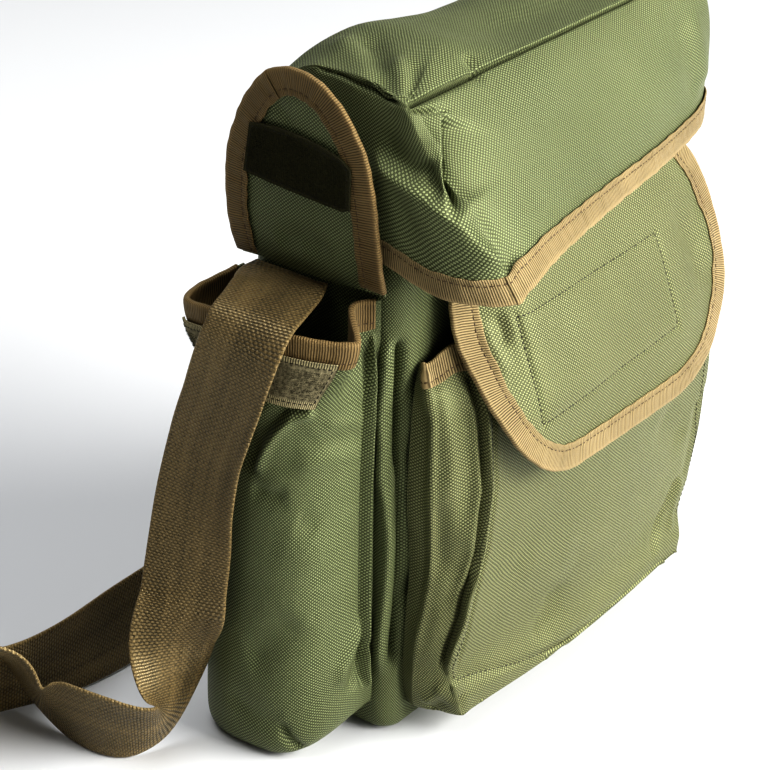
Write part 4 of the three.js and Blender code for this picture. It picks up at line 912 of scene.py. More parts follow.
def binding(name, edge, ts, material, seed, limit=None, pucker=0.22, flip=False, proud=0.0):
    """A tape folded over a cloth edge. edge(t, d) gives the cloth's outer face
    and normal d inside the edge. Returns the piece and its stitch line."""
    section = np.array(TAPE_OUT + TAPE_IN, float)
    if proud > 0:  # lies over another tape's end
        section[:, 1] += np.where(section[:, 1] > -CLOTH / 2, proud, -proud)
        section[:, 2] += np.where(section[:, 0] == 0, proud * 0.6, 0)
    cache = {}
    for d in np.unique(section[:, 0]):
        cache[float(d)] = edge(ts, float(d))
    rim = cache[0.0][0]
    outward = unit(rim - edge(ts, 2.0)[0])
    s = np.concatenate([[0], np.cumsum(np.linalg.norm(np.diff(rim, axis=0), axis=1))])
    rng = np.random.default_rng(seed)
    wave = sum(np.sin(2 * np.pi * s / l + rng.uniform(0, 6.28)) for l in (6.6, 9.7, 15.0)) / 3
    lift = sum(np.sin(2 * np.pi * s / l + rng.uniform(0, 6.28)) for l in (11.0, 23.0)) / 2
    sections = np.zeros((len(ts), len(section), 3))
    for i, (d, off, past) in enumerate(section):
        p, n = cache[float(d)]
        front = off > -CLOTH / 2
        swell = pucker * (wave if i < len(TAPE_OUT) else 0 * wave) * (1 if front else -1) * min(1, (d + 2) / 6)
        swell = np.maximum(swell, -0.3)
        q = p + n * (off + swell)[:, None] + outward * (past * (1 + 0.25 * lift))[:, None]
        if d > 11:
            q = q - outward * (0.35 * lift)[:, None]
        sections[:, i] = q
    if limit is not None:
        sections = limit(sections)
    around = np.concatenate([section[:, 0], section[:1, 0]])
    past = np.concatenate([section[:, 2], section[:1, 2]])
    uv = np.stack(np.broadcast_arrays(s[:, None], (around - past)[None, :]), -1)
    obj = swept(name, sections, uv, material, flip=flip)
    p, n = edge(ts, 9.4)
    return obj, (p + n * (0.72 + proud), n)


def resample(p, n, pitch):
    s = np.concatenate([[0], np.cumsum(np.linalg.norm(np.diff(p, axis=0), axis=1))])
    count = max(2, int(s[-1] / pitch))
    at = np.linspace(0, s[-1], count * 6 + 1)
    q = np.stack([np.interp(at, s, p[:, i]) for i in range(3)], 1)
    m = unit(np.stack([np.interp(at, s, n[:, i]) for i in range(3)], 1))
    return q, m, count


def stitches(name, lines, material, pitch=3.2, length=0.72, width=0.62, high=0.42, seed=1):
    """Raised thread stitches along lines of (points, normals)."""
    rng = np.random.default_rng(seed)
    b = Build()
    ring = np.linspace(0, 2 * np.pi, 7)[:-1]
    for p, n in lines:
        q, m, count = resample(np.asarray(p), np.asarray(n), pitch)
        for i in range(count):
            a = i * 6
            start, end = q[a], q[a + 6]
            run = end - start
            total = np.linalg.norm(run)
            if total < 1e-6:
                continue
            run = run / total
            up = m[a + 3]
            up = unit(up - run * (up @ run))
            side = np.cross(up, run)
            middle = q[a + 3]
            half = total * length / 2
            slip = rng.normal(0, 0.07)
            turn = rng.normal(0, 0.05)
            run2 = unit(run + side * turn)
            side2 = np.cross(up, run2)
            rows = []
            for f, size, drop in ((-0.86, 0.62, -0.12), (-0.4, 1, 0.06), (0.4, 1, 0.06), (0.86, 0.62, -0.12)):
                c = middle + run2 * f * half + side2 * slip + up * (drop + 0.08)
                rows.append(
                    c
                    + np.outer(np.cos(ring), side2) * width / 2 * size
                    + np.outer(np.sin(ring), up) * high / 2 * size
                )
            o = b.verts(np.array(rows))
            ends = b.verts(np.array([middle - run2 * half - up * 0.22, middle + run2 * half - up * 0.22]))
            r, c = np.meshgrid(np.arange(3), np.arange(6), indexing="ij")
            r, c = r.ravel(), c.ravel()
            k = (c + 1) % 6
            quad = o + np.stack([r * 6 + c, r * 6 + k, (r + 1) * 6 + k, (r + 1) * 6 + c], 1)
            along = np.stack([c * 0.3, r * 0.8], 1).astype(float)
            b.add(quad[:, ::-1], np.repeat(along[:, None, :], 4, 1))
            c = np.arange(6)
            k = (c + 1) % 6
            flat = np.zeros((6, 3, 2))
            b.add(np.stack([np.full(6, ends), o + c, o + k], 1)[:, ::-1], flat)
            b.add(np.stack([np.full(6, ends + 1), o + 18 + k, o + 18 + c], 1)[:, ::-1], flat)
    return b.object(name, material, flip=True)


def fuzz(name, roots, normals, material, count, length, width, seed, lean=0.6):
    """Short loose fibres standing on a tape, as thin three-sided blades."""
    rng = np.random.default_rng(seed)
    pick = rng.integers(0, len(roots), count)
    b = Build()
    base, up = roots[pick], normals[pick]
    side = unit(rng.normal(size=(count, 3)))
    side = unit(side - up * np.sum(side * up, 1, keepdims=True))
    tall = rng.uniform(0.5, 1.0, count)[:, None] * length
    bend = unit(up + side * rng.uniform(0.1, lean, count)[:, None])
    bend2 = unit(up * 0.5 + side * rng.uniform(0.4, 1.2, count)[:, None] + rng.normal(0, 0.3, (count, 3)))
    across = np.cross(bend, up)
    across = unit(across + 1e-6)
    third = np.cross(up, across)
    mid = base + bend * tall * 0.55
    tip = mid + bend2 * tall * 0.45
    w = width / 2
    ring = [across * w, (-0.5 * across + 0.87 * third) * w, (-0.5 * across - 0.87 * third) * w]
    o = b.verts(np.stack([base + ring[0], base + ring[1], base + ring[2], mid + ring[0] * 0.8, mid + ring[1] * 0.8, mid + ring[2] * 0.8, tip], 1))
    i = o + np.arange(count) * 7
    zero4, zero3 = np.zeros((count, 4, 2)), np.zeros((count, 3, 2))
    for a, c in ((0, 1), (1, 2), (2, 0)):
        b.add(np.stack([i + a, i + c, i + 3 + c, i + 3 + a], 1), zero4)
        b.add(np.stack([i + 3 + a, i + 3 + c, i + 6], 1), zero3)
    b.add(np.stack([i, i + 2, i + 1], 1), zero3)
    return b.object(name, material)


# -------------------------------------------------------------- materials ----
class Nodes:
    def __init__(self, name):
        self.material = bpy.data.materials.new(name)
        self.material.use_nodes = True
        self.tree = self.material.node_tree
        self.tree.nodes.clear()
        self.out = self.new("ShaderNodeOutputMaterial")
        self.shader = self.new("ShaderNodeBsdfPrincipled")
        self.link(self.shader.outputs["BSDF"], self.out.inputs["Surface"])
        uv = self.new("ShaderNodeUVMap")
        uv.uv_map = "weave"
        self.uv = uv.outputs["UV"]
        parts = self.new("ShaderNodeSeparateXYZ")
        self.link(self.uv, parts.inputs[0])
        self.x, self.y = parts.outputs[0], parts.outputs[1]
        place = self.new("ShaderNodeTexCoord")
        self.place = place.outputs["Object"]

    def new(self, kind):
        return self.tree.nodes.new(kind)

    def link(self, a, b):
        self.tree.links.new(a, b)

    def feed(self, socket, value):
        if hasattr(value, "is_linked"):
            self.link(value, socket)
        else:
            socket.default_value = value

    def math(self, op, a, b=None, clamp=False):
        node = self.new("ShaderNodeMath")
        node.operation = op
        node.use_clamp = clamp
        self.feed(node.inputs[0], a)
        if b is not None:
            self.feed(node.inputs[1], b)
        return node.outputs[0]

    def noise(self, vector, scale, detail=2.0, rough=0.5):
        node = self.new("ShaderNodeTexNoise")
        self.link(vector, node.inputs["Vector"])
        node.inputs["Scale"].default_value = scale
        node.inputs["Detail"].default_value = detail
        node.inputs["Roughness"].default_value = rough
        return node.outputs["Fac"]

    def span(self, value, a, b, c, d):
        node = self.new("ShaderNodeMapRange")
        self.link(value, node.inputs["Value"])
        for name, number in (("From Min", a), ("From Max", b), ("To Min", c), ("To Max", d)):
            node.inputs[name].default_value = number
        return node.outputs["Result"]

    def mix(self, share, a, b, blend="MIX"):
        node = self.new("ShaderNodeMix")
        node.data_type = "RGBA"
        node.blend_type = blend
        self.feed(node.inputs["Factor"], share)
        self.feed(node.inputs[6], a)
        self.feed(node.inputs[7], b)
        return node.outputs[2]

    def bump(self, height, distance, strength, after=None):
        node = self.new("ShaderNodeBump")
        node.inputs["Distance"].default_value = distance
        node.inputs["Strength"].default_value = strength
        self.link(height, node.inputs["Height"])
        if after is not None:
            self.link(after, node.inputs["Normal"])
        return node.outputs["Normal"]

    def wave(self, value, pitch):
        return self.math("SINE", self.math("MULTIPLY", value, math.pi / pitch))

    def finish(self, colour, rough, normal, sheen=0.0, sheen_rough=0.5, sheen_tint=(1, 1, 1, 1), specular=0.5, tint=(1, 1, 1, 1)):
        s = self.shader.inputs
        self.feed(s["Base Color"], colour)
        self.feed(s["Roughness"], rough)
        self.link(normal, s["Normal"])
        s["Sheen Weight"].default_value = sheen
        s["Sheen Roughness"].default_value = sheen_rough
        s["Sheen Tint"].default_value = sheen_tint
        s["Specular IOR Level"].default_value = specular
        s["Specular Tint"].default_value = tint
        return self.material


def nylon_material(name, dark, light, gloss=0.44, across=0.00105, along=0.00090):
    """Pack cloth: pale dots where one yarn set lies on top, on a dark ground."""
    m = Nodes(name)
    drift = m.noise(m.uv, 90.0, 2.0)
    x = m.math("ADD", m.x, m.math("MULTIPLY", drift, 0.0010))
    drift2 = m.noise(m.place, 70.0, 2.0)
    y = m.math("ADD", m.y, m.math("MULTIPLY", drift2, 0.0010))
    cell = m.math("MULTIPLY", m.wave(x, across), m.wave(y, along))
    high = m.math("POWER", m.math("ABSOLUTE", cell), 0.55)
    over = m.span(cell, 0.0, 0.38, 0.0, 1.0)
    patch = m.noise(m.place, 9.0, 3.0, 0.55)
    thread = m.noise(m.place, 900.0, 1.0)
    ply = m.math("ABSOLUTE", m.wave(m.y, along / 3))
    tone = m.math("ADD", m.math("MULTIPLY", over, 0.72), m.math("MULTIPLY", high, 0.10))
    tone = m.math("ADD", tone, m.math("MULTIPLY", thread, 0.10))
    tone = m.math("ADD", tone, m.math("MULTIPLY", m.math("MULTIPLY", ply, over), 0.08))
    tone = m.math("ADD", tone, m.math("MULTIPLY", m.math("SUBTRACT", patch, 0.5), 0.22), clamp=True)
    colour = m.mix(tone, (*dark, 1), (*light, 1))
    fade = m.span(m.noise(m.place, 23.0, 4.0, 0.6), 0.52, 0.85, 0.0, 0.14)
    colour = m.mix(fade, colour, (light[0] * 0.6, light[1] * 0.57, light[2] * 0.62, 1))
    rough = m.span(m.math("ADD", m.math("MULTIPLY", thread, 0.5), m.math("MULTIPLY", patch, 0.5)), 0.25, 0.75, gloss - 0.08, gloss + 0.1)
    crease = m.noise(m.place, 55.0, 3.0, 0.55)
    normal = m.bump(crease, 0.0012, 0.35)
    normal = m.bump(over, 0.00040, 0.95, normal)
    normal = m.bump(high, 0.00015, 0.6, normal)
    return m.finish(colour, rough, normal, sheen=0.06, sheen_rough=0.35, sheen_tint=(0.85, 0.95, 0.5, 1), specular=0.5, tint=(0.9, 1.0, 0.55, 1))


def ribbed_material(name, dark, light, pitch=0.00130, gloss=0.52):
    m = Nodes(name)
    wobble = m.noise(m.uv, 160.0, 2.0)
    x = m.math("ADD", m.x, m.math("MULTIPLY", wobble, 0.0006))
    rib = m.span(m.math("ABSOLUTE", m.wave(x, pitch)), 0.3, 0.85, 0.0, 1.0)
    fine = m.math("ABSOLUTE", m.wave(m.y, 0.00055))
    thread = m.noise(m.place, 700.0, 2.0)
    patch = m.noise(m.place, 34.0, 3.0, 0.6)
    tone = m.math("ADD", m.math("MULTIPLY", rib, 0.72), m.math("MULTIPLY", thread, 0.2))
    tone = m.math("ADD", tone, m.math("MULTIPLY", m.math("SUBTRACT", patch, 0.5), 0.6), clamp=True)
    colour = m.mix(tone, (*dark, 1), (*light, 1))
    # The fold and the selvage are rubbed paler.
    edge = m.math("ADD", m.span(m.y, 0.0, 0.0016, 0.3, 0.0), m.span(m.y, 0.0118, 0.0126, 0.0, 0.2))
    colour = m.mix(edge, colour, (light[0] * 1.15, light[1] * 1.12, light[2] * 1.1, 1))
    rough = m.span(thread, 0.3, 0.7, gloss - 0.07, gloss + 0.1)
    normal = m.bump(patch, 0.0008, 0.4)
    normal = m.bump(rib, 0.00035, 0.8, normal)
    normal = m.bump(fine, 0.0001, 0.5, normal)
    return m.finish(colour, rough, normal, sheen=0.08, sheen_rough=0.4, sheen_tint=(1, 0.85, 0.5, 1), specular=0.4, tint=(1.0, 0.85, 0.5, 1))


def webbing_material(name, dark, light):
    """Strap webbing: x runs across, y along. Fine weft ribs cross it, with broken
    columns of pin-holes where the warp binds, and a chained selvage on both edges."""
    m = Nodes(name)
    wobble = m.noise(m.uv, 120.0, 2.0)
    y = m.math("ADD", m.y, m.math("MULTIPLY", wobble, 0.0010))
    slope = m.math("ADD", y, m.math("MULTIPLY", m.x, 0.03))
    row = m.span(m.math("ABSOLUTE", m.wave(slope, 0.0015)), 0.3, 0.8, 0.0, 1.0)
    cell = m.math("MULTIPLY", m.wave(m.x, 0.0013), m.wave(slope, 0.0015))
    over = m.span(cell, -0.4, 0.4, 0.0, 1.0)
    # Columns 3.6 mm apart; a hole is left out where the noise is low.
    column = m.math("DIVIDE", m.math("ADD", m.x, m.math("MULTIPLY", wobble, 0.0006)), 0.0036)
    index = m.math("FLOOR", column)
    cx = m.math("MULTIPLY", m.math("SUBTRACT", m.math("SUBTRACT", column, index), 0.5), 3.6 / 0.5)
    along = m.math("ADD", m.math("DIVIDE", slope, 0.0045), m.math("MULTIPLY", index, 0.37))
    cy = m.math("MULTIPLY", m.math("SUBTRACT", m.math("FRACT", along), 0.5), 4.5 / 0.65)
    far = m.math("ADD", m.math("MULTIPLY", cx, cx), m.math("MULTIPLY", cy, cy))
    kept = m.span(m.noise(m.uv, 210.0, 2.0), 0.42, 0.52, 0.0, 1.0)
    hole = m.math("MULTIPLY", m.span(far, 0.4, 1.3, 1.0, 0.0), kept)
    thread = m.noise(m.place, 800.0, 2.0)
    patch = m.noise(m.place, 28.0, 3.0, 0.6)
    # Long pale and dark streaks and broad bands along the warp: raised warp ends, with their gloss painted in as paler
    # colour (painted sheen).
    stretch = m.new("ShaderNodeMapping")
    stretch.inputs["Scale"].default_value = (1.0, 0.06, 1.0)
    m.link(m.uv, stretch.inputs["Vector"])
    sheen_streak = m.noise(stretch.outputs["Vector"], 420.0, 2.0)
    band = m.noise(stretch.outputs["Vector"], 95.0, 1.0)
    tone = m.math("ADD", m.math("MULTIPLY", row, 0.42), m.math("MULTIPLY", over, 0.42))
    tone = m.math("ADD", tone, m.math("MULTIPLY", thread, 0.16))
    tone = m.math("ADD", tone, m.math("MULTIPLY", m.math("SUBTRACT", sheen_streak, 0.5), 0.55))
    tone = m.math("ADD", tone, m.math("MULTIPLY", m.math("SUBTRACT", band, 0.5), 0.9))
    tone = m.math("ADD", tone, m.math("MULTIPLY", m.math("SUBTRACT", patch, 0.5), 0.45), clamp=True)
    colour = m.mix(tone, (*dark, 1), (*light, 1))
    colour = m.mix(m.math("MULTIPLY", hole, 0.85), colour, (dark[0] * 0.3, dark[1] * 0.3, dark[2] * 0.3, 1))
    lip = m.math("MAXIMUM", m.span(m.x, -0.0221, -0.0207, 1.0, 0.0), m.span(m.x, 0.0207, 0.0221, 0.0, 1.0))
    chain = m.math("POWER", m.math("ABSOLUTE", m.wave(y, 0.0019)), 0.6)
    colour = m.mix(m.math("MULTIPLY", m.math("MULTIPLY", lip, chain), 0.6), colour, (light[0] * 1.25, light[1] * 1.25, light[2] * 1.25, 1))
    rough = m.span(thread, 0.3, 0.7, 0.32, 0.46)
    normal = m.bump(patch, 0.0008, 0.3)
    normal = m.bump(row, 0.0005, 0.9, normal)
    normal = m.bump(over, 0.0004, 0.9, normal)
    return m.finish(colour, rough, normal, sheen=0.06, sheen_rough=0.4, sheen_tint=(1, 0.85, 0.5, 1), specular=0.75, tint=(1.0, 0.86, 0.55, 1))


def pile_material(name, dark, light, scale, depth, selvage=None):
    m = Nodes(name)
    pile = m.noise(m.place, scale, 4.0, 0.7)
    knots = m.new("ShaderNodeTexVoronoi")
    m.link(m.place, knots.inputs["Vector"])
    knots.inputs["Scale"].default_value = scale * 0.9
    tone = m.math("ADD", m.math("MULTIPLY", pile, 0.9), m.math("MULTIPLY", knots.outputs["Distance"], 0.35), clamp=True)
    colour = m.mix(m.span(tone, 0.25, 0.95, 0.0, 1.0), (*dark, 1), (*light, 1))
    rib = m.span(m.math("ABSOLUTE", m.wave(m.x, 0.0011)), 0.25, 0.85, 0.0, 1.0)
    normal = m.bump(rib, 0.0002, 0.4)
    if selvage is not None:
        edge = m.math("MAXIMUM", m.span(m.y, 0.0034, 0.0042, 1.0, 0.0), m.span(m.y, selvage - 0.0042, selvage - 0.0034, 0.0, 1.0))
        band = m.mix(rib, (dark[0] * 0.8, dark[1] * 0.8, dark[2] * 0.8, 1), (light[0] * 1.15, light[1] * 1.15, light[2] * 1.1, 1))
        colour = m.mix(edge, colour, band)
    normal = m.bump(pile, depth, 0.9, normal)
    return m.finish(colour, m.span(pile, 0.3, 0.7, 0.75, 0.95), normal, sheen=0.05, sheen_rough=0.5, sheen_tint=(0.9, 0.85, 0.55, 1), specular=0.2)


def thread_material(name, dark, light):
    m = Nodes(name)
    grain = m.noise(m.place, 1500.0, 2.0)
    colour = m.mix(grain, (*dark, 1), (*light, 1))
    normal = m.bump(grain, 0.0002, 0.6)
    return m.finish(colour, m.span(grain, 0.3, 0.7, 0.5, 0.65), normal, specular=0.35)


NYLON = nylon_material("nylon", (0.006, 0.008, 0.0030), (0.284, 0.320, 0.164))
NYLON_FRONT = nylon_material("nylon_front", (0.008, 0.009, 0.0032), (0.328, 0.336, 0.172))
BINDING = ribbed_material("binding", (0.014, 0.009, 0.0032), (0.345, 0.266, 0.140))
# The same binding tape made darker for the side flap and the side pocket's mouth: painted shade for the side away from
# the window.
BINDING_PAINTED_SHADE = ribbed_material("binding_painted_shade", (0.008, 0.005, 0.0015), (0.215, 0.150, 0.070))
WEBBING = webbing_material("webbing", (0.004, 0.0026, 0.0009), (0.195, 0.140, 0.062))
HOOK_TAPE = pile_material("hook_tape", (0.0016, 0.0016, 0.0006), (0.046, 0.044, 0.015), 900.0, 0.0008)
LOOP_TAPE = pile_material("loop_tape", (0.014, 0.012, 0.006), (0.34, 0.30, 0.18), 560.0, 0.0007, selvage=0.0265)
THREAD_OLIVE = thread_material("thread_olive", (0.006, 0.006, 0.002), (0.034, 0.031, 0.013))
THREAD_DARK = thread_material("thread_dark", (0.003, 0.003, 0.0012), (0.018, 0.016, 0.008))
THREAD_BROWN = thread_material("thread_brown", (0.03, 0.018, 0.007), (0.10, 0.062, 0.026))


def place(obj, slot, *nodes):
    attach(obj, "root")
    if nodes:
        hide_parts(*nodes)
    return obj


def grid(face, us, vs):
    u, v = np.meshgrid(np.asarray(us, float), np.asarray(vs, float))
    return face(u, v)


def spread(*parts):
    """Stations made of (from, to, count) runs, each without its last station."""
    out = [np.linspace(a, b, n, endpoint=False) for a, b, n in parts]
    return np.concatenate(out)


# ------------------------------------------------------------------- body ----
body_face = moved(body_base, 1, 0.002, 0.004, BODY_FOLDS)
us = np.concatenate([q / 4 + spread((0, 0.15, 34), (0.15, 0.2, 14), (0.2, 0.25, 14)) if q % 2 == 0 else q / 4 + spread((0, 0.05, 14), (0.05, 0.1, 14), (0.1, 0.25, 34)) for q in range(3)])
us = np.concatenate([us, 0.75 + spread((0, 0.05, 10), (0.05, 0.07, 10), (0.07, 0.125, 28), (0.125, 0.25, 26))])
vs = np.concatenate([spread((0.02, 0.08, 4), (0.08, 0.26, 22)), np.linspace(0.26, 1, 96)])
p = grid(body_face, us, vs)
p[..., 2] = np.maximum(p[..., 2], 0.0)
ring_u = np.concatenate([lengths(np.concatenate([p, p[:, :1]], 1)[30:], 1)])
uv = np.stack(np.broadcast_arrays(ring_u[None, :], lengths(p, 0)[:, None]), -1)
body = cloth("pouch_body", p, uv, NYLON, ring=True, turn=1, pole=(np.array([[9, 4, 0.0]]), np.array([[9, 4, CLOTH]])))
place(body, "nylon", "body")

# -------------------------------------------------------------------- lid ----
lid_face = moved(lid_base, -1, 0.002, 0.012, LID_FOLDS)
lid_us = spread((0, 0.05, 8), (0.05, 0.18, 38), (0.18, 0.3, 136), (0.3, 0.56, 56), (0.56, 0.68, 34), (0.68, 1, 38))
lid_vs = np.concatenate([spread((0.04, 0.3, 16), (0.3, 0.38, 10), (0.38, 0.42, 26), (0.42, 0.52, 22)), np.linspace(0.52, 1, 54)])
p = grid(lid_face, lid_us, lid_vs)
seam_row = int(np.argmin(np.abs(lid_vs - SEAM_V)))
skirt = p[seam_row:]
ring_u = lengths(np.concatenate([skirt, skirt[:, :1]], 1), 1)
down = lengths(p, 0)
uv = np.stack(np.broadcast_arrays(ring_u[None, :], down[:, None]), -1)
smooth = grid(lid_base, lid_us, lid_vs)
smooth = np.concatenate([smooth, smooth[:, :1]], 1)
ray = smooth[0, :, :2] - np.array([0.0, -2.0])
reach = np.linalg.norm(ray, axis=1) + np.concatenate([np.zeros((1, smooth.shape[1])), np.cumsum(np.linalg.norm(np.diff(smooth, axis=0), axis=2), 0)])
flat_uv = unit(ray)[None] * reach[..., None] + np.array([400.0, 300.0])
centre = p[0].mean(0)[None, :]
lid = cloth("pouch_lid", p, uv, NYLON, ring=True, turn=-1, pole=(centre, centre - [[0, 0, CLOTH]]), split=(seam_row, flat_uv))
place(lid, "nylon", "lid")


def lid_edge(t, d):
    v = mix(1, LID_HEM_V, d / BIND)
    return lid_face(t, v + 0 * t), normal_of(lid_face, t, v + 0 * t, 0.003, 0.02, -1)


# Two lengths of tape meet at the left front corner, the front one on top.
ts = np.concatenate([spread((0.05, 0.18, 70), (0.18, 0.274, 90)), [0.274]])
lid_binding, lid_line = binding("lid_binding_tape", lid_edge, ts, BINDING, 3, flip=True)
place(lid_binding, "binding", "lid_binding")
ts = np.concatenate([spread((0.267, 0.3, 40), (0.3, 0.56, 130), (0.56, 0.68, 60), (0.68, 0.82, 70)), [0.82]])
lid_binding_front, lid_line_front = binding("lid_binding_tape_front", lid_edge, ts, BINDING, 4, flip=True, proud=0.75)
place(lid_binding_front, "binding")
lid_stitch = place(stitches("lid_binding_stitches", [lid_line, lid_line_front], THREAD_BROWN, seed=11), "binding")

# ----------------------------------------------------------- front pocket ----
pocket_face = moved(pocket_base, 1, 0.006, 0.01, POCKET_FOLDS)


def clear_front(q):
    q = q.copy()
    q[..., 1] = np.minimum(q[..., 1], FRONT - 0.15)
    return q


PINCH_AT = 0.17
pocket_us = np.concatenate([spread((0, 0.045, 14), (0.045, 0.075, 16), (0.075, 0.15, 18), (0.15, 0.2, 36), (0.2, 0.3, 20), (0.3, 0.75, 50), (0.75, 0.84, 24), (0.84, 0.94, 18)), np.linspace(0.94, 1, 14)])
pocket_vs = np.concatenate([spread((0, 0.2, 44), (0.2, 0.9, 84)), np.linspace(0.9, 1, 16)])
u, v = np.meshgrid(pocket_us, pocket_vs)
turn_at = np.interp(v, [q[1] for q in PINCH_UV[::-1]], [q[0] for q in PINCH_UV[::-1]])
# The columns follow the pinched ridge.
u = np.where(u < PINCH_AT, u * turn_at / PINCH_AT, np.where(u < 0.5, turn_at + (u - PINCH_AT) * (0.5 - turn_at) / (0.5 - PINCH_AT), u))
p = clear_front(pocket_face(u, v))
uv = np.stack(np.broadcast_arrays(lengths(p[40:], 1)[None, :], lengths(p[:, 60:150], 0)[:, None]), -1)
pocket = cloth("front_pocket_cloth", p, uv, NYLON_FRONT, turn=1, limit=clear_front)
place(pocket, "nylon", "front_pocket")


def pocket_edge(t, d):
    v = mix(1, MOUTH_HEM_V, d / BIND)
    return pocket_face(t, v + 0 * t), normal_of(pocket_face, t, v + 0 * t, 0.006, 0.02, 1)


ts = np.concatenate([spread((0.03, 0.25, 90), (0.25, 0.75, 90), (0.75, 0.97, 80)), [0.97]])
pocket_binding, pocket_line = binding("front_pocket_binding_tape", pocket_edge, ts, BINDING, 5, limit=clear_front)
place(pocket_binding, "binding", "front_pocket_binding")
lines = [pocket_line]
pocket_stitch = place(stitches("front_pocket_binding_stitches", lines, THREAD_BROWN, seed=13), "binding")
lines = []
rows = np.array(PINCH_UV)[::-1]
v = np.linspace(0.2, 0.9, 260)
u = np.interp(v, rows[:, 1], rows[:, 0])
left, right = u + 0.021, 1 - u - 0.021
for u in (left, right):
    lines.append((pocket_face(u, v), normal_of(pocket_face, u, v, 0.006, 0.01, 1)))
u = np.linspace(0.2, 0.8, 260)
v = cubic([0.19, 0.27, 0.33, 0.39, 0.45, 0.55, 0.8], [0.199, 0.186, 0.168, 0.144, 0.125, 0.115, 0.112])(u)
lines.append((pocket_face(u, v), normal_of(pocket_face, u, v, 0.006, 0.01, 1)))
pocket_seam = place(stitches("front_pocket_seam_stitches", lines, THREAD_OLIVE, width=0.7, seed=14), "nylon")

# ------------------------------------------------------------- front flap ----
FLAP_TURN = -1 if np.cross(flap_point(1.0, 200.0) - flap_point(-1.0, 200.0), flap_point(0.0, 201.0) - flap_point(0.0, 199.0))[1] > 0 else 1
flap_sheet = moved(flap_point, FLAP_TURN, 0.8, 0.8, FLAP_FOLDS)
ts = np.linspace(0, 1, 190)
ws = np.concatenate([spread((0, HEM_W, 74)), np.linspace(HEM_W, 1, 12)])
t, w = np.meshgrid(ts, ws)
a, b = flap_fan(t, w)
p = flap_sheet(a, b)
uv = np.stack([a, b], -1)
flap = cloth("front_flap_cloth", p, uv, NYLON_FRONT, turn=-1)
place(flap, "nylon", "front_flap")


def flap_edge(t, d):
    a, b = flap_walk(t, d)
    return flap_sheet(a, b), normal_of(flap_sheet, a, b, 0.8, 0.8, FLAP_TURN)


ts = np.linspace(0.01, 0.99, 330)
flap_binding, flap_line = binding("front_flap_binding_tape", flap_edge, ts, BINDING, 7, flip=True)
place(flap_binding, "binding", "front_flap_binding")
flap_stitch = place(stitches("front_flap_binding_stitches", [flap_line], THREAD_BROWN, seed=15), "binding")
lines = []
for (x0, z0), (x1, z1) in FLAP_PATCH:
    k = np.linspace(0, 1, 80)
    a, b = mix(x0, x1, k), mix(z0, z1, k)
    lines.append((flap_sheet(a, b), normal_of(flap_sheet, a, b, 0.8, 0.8, FLAP_TURN)))
flap_seam = place(stitches("front_flap_patch_stitches", lines, THREAD_OLIVE, pitch=2.9, width=0.7, seed=16), "nylon")

# ------------------------------------------------------------ side pocket ----
side_face = moved(side_base, -1, 0.004, 0.008, SIDE_FOLDS)


def clear_side(q):
    q = q.copy()
    q[..., 0] = np.minimum(q[..., 0], SIDE - 0.15)
    q[..., 2] = np.maximum(q[..., 2], 0.1)
    return q


side_us = np.concatenate([spread((0, 0.04, 14), (0.04, 0.3, 74), (0.3, 0.8, 64), (0.8, 0.97, 30)), np.linspace(0.97, 1, 8)])
side_vs = np.concatenate([spread((0, 0.28, 44), (0.28, 0.8, 70), (0.8, 0.94, 28)), np.linspace(0.94, 1, 12)])
p = clear_side(grid(side_face, side_us, side_vs))
uv = np.stack(np.broadcast_arrays(lengths(p[60:], 1)[None, :], lengths(p[:, 40:160], 0)[:, None]), -1)
side = cloth("side_pocket_cloth", p, uv, NYLON, turn=-1, limit=clear_side)
place(side, "nylon", "side_pocket")


def side_edge(t, d):
    v = mix(1, SIDE_HEM_V, d / BIND)
    return side_face(t, v + 0 * t), normal_of(side_face, t, v + 0 * t, 0.006, 0.02, -1)


ts = np.concatenate([spread((0.02, 0.3, 130), (0.3, 0.8, 130), (0.8, 0.98, 60)), [0.98]])
# The mouth takes the darker copy of the tape, painted shade for this side.
side_binding, side_line = binding("side_pocket_binding_tape", side_edge, ts, BINDING_PAINTED_SHADE, 9, limit=clear_side, flip=True)
place(side_binding, "binding", "side_pocket_binding")
side_stitch = place(stitches("side_pocket_binding_stitches", [side_line], THREAD_BROWN, seed=17), "binding")


def loop_sheet(u, v):
    along = mix(LOOP["from"], LOOP["to"], u)
    d = LOOP["below"] + LOOP["tall"] * (1 - v)
    top = side_base(along, 1 + 0 * along)
    reach = np.linalg.norm(top - side_base(along, 0.9 + 0 * along), axis=-1) / 0.1
    w = 1 - d / reach
    n = normal_of(side_base, along, w, 0.012, 0.02, -1)
    return side_base(along, w) + n * 2.9


p = grid(loop_sheet, np.linspace(0, 1, 110), np.linspace(0, 1, 22))
uv = np.stack(np.broadcast_arrays(lengths(p, 1)[None, :], lengths(p, 0)[:, None]), -1)
loop = cloth("side_pocket_loop_pile", p, uv, LOOP_TAPE, thick=1.3, turn=-1)
place(loop, "loop_tape", "side_pocket_loop_tape")
n = grid_normals(p, False, -1)
inset = np.linspace(0.02, 0.98, 160)
lines = []
for v in (0.09, 0.91):
    q = loop_sheet(inset, v + 0 * inset)
    lines.append((q, normal_of(loop_sheet, inset, v + 0 * inset, 0.01, 0.02, -1)))
k = np.linspace(0.09, 0.91, 40)
for u in (0.02, 0.98):
    lines.append((loop_sheet(u + 0 * k, k), normal_of(loop_sheet, u + 0 * k, k, 0.01, 0.02, -1)))
loop_stitch = place(stitches("side_pocket_loop_stitches", lines, THREAD_DARK, pitch=2.6, width=0.5, seed=18), "loop_tape")
core_p, core_n = p[4:-4, 3:-3].reshape(-1, 3), n[4:-4, 3:-3].reshape(-1, 3)
loop_fuzz = place(fuzz("side_pocket_loop_fuzz", core_p, core_n, LOOP_TAPE, 2600, 1.5, 0.16, 21, lean=1.4), "loop_tape")
far_p, far_n = p[3:-3, 46:80].reshape(-1, 3), n[3:-3, 46:80].reshape(-1, 3)
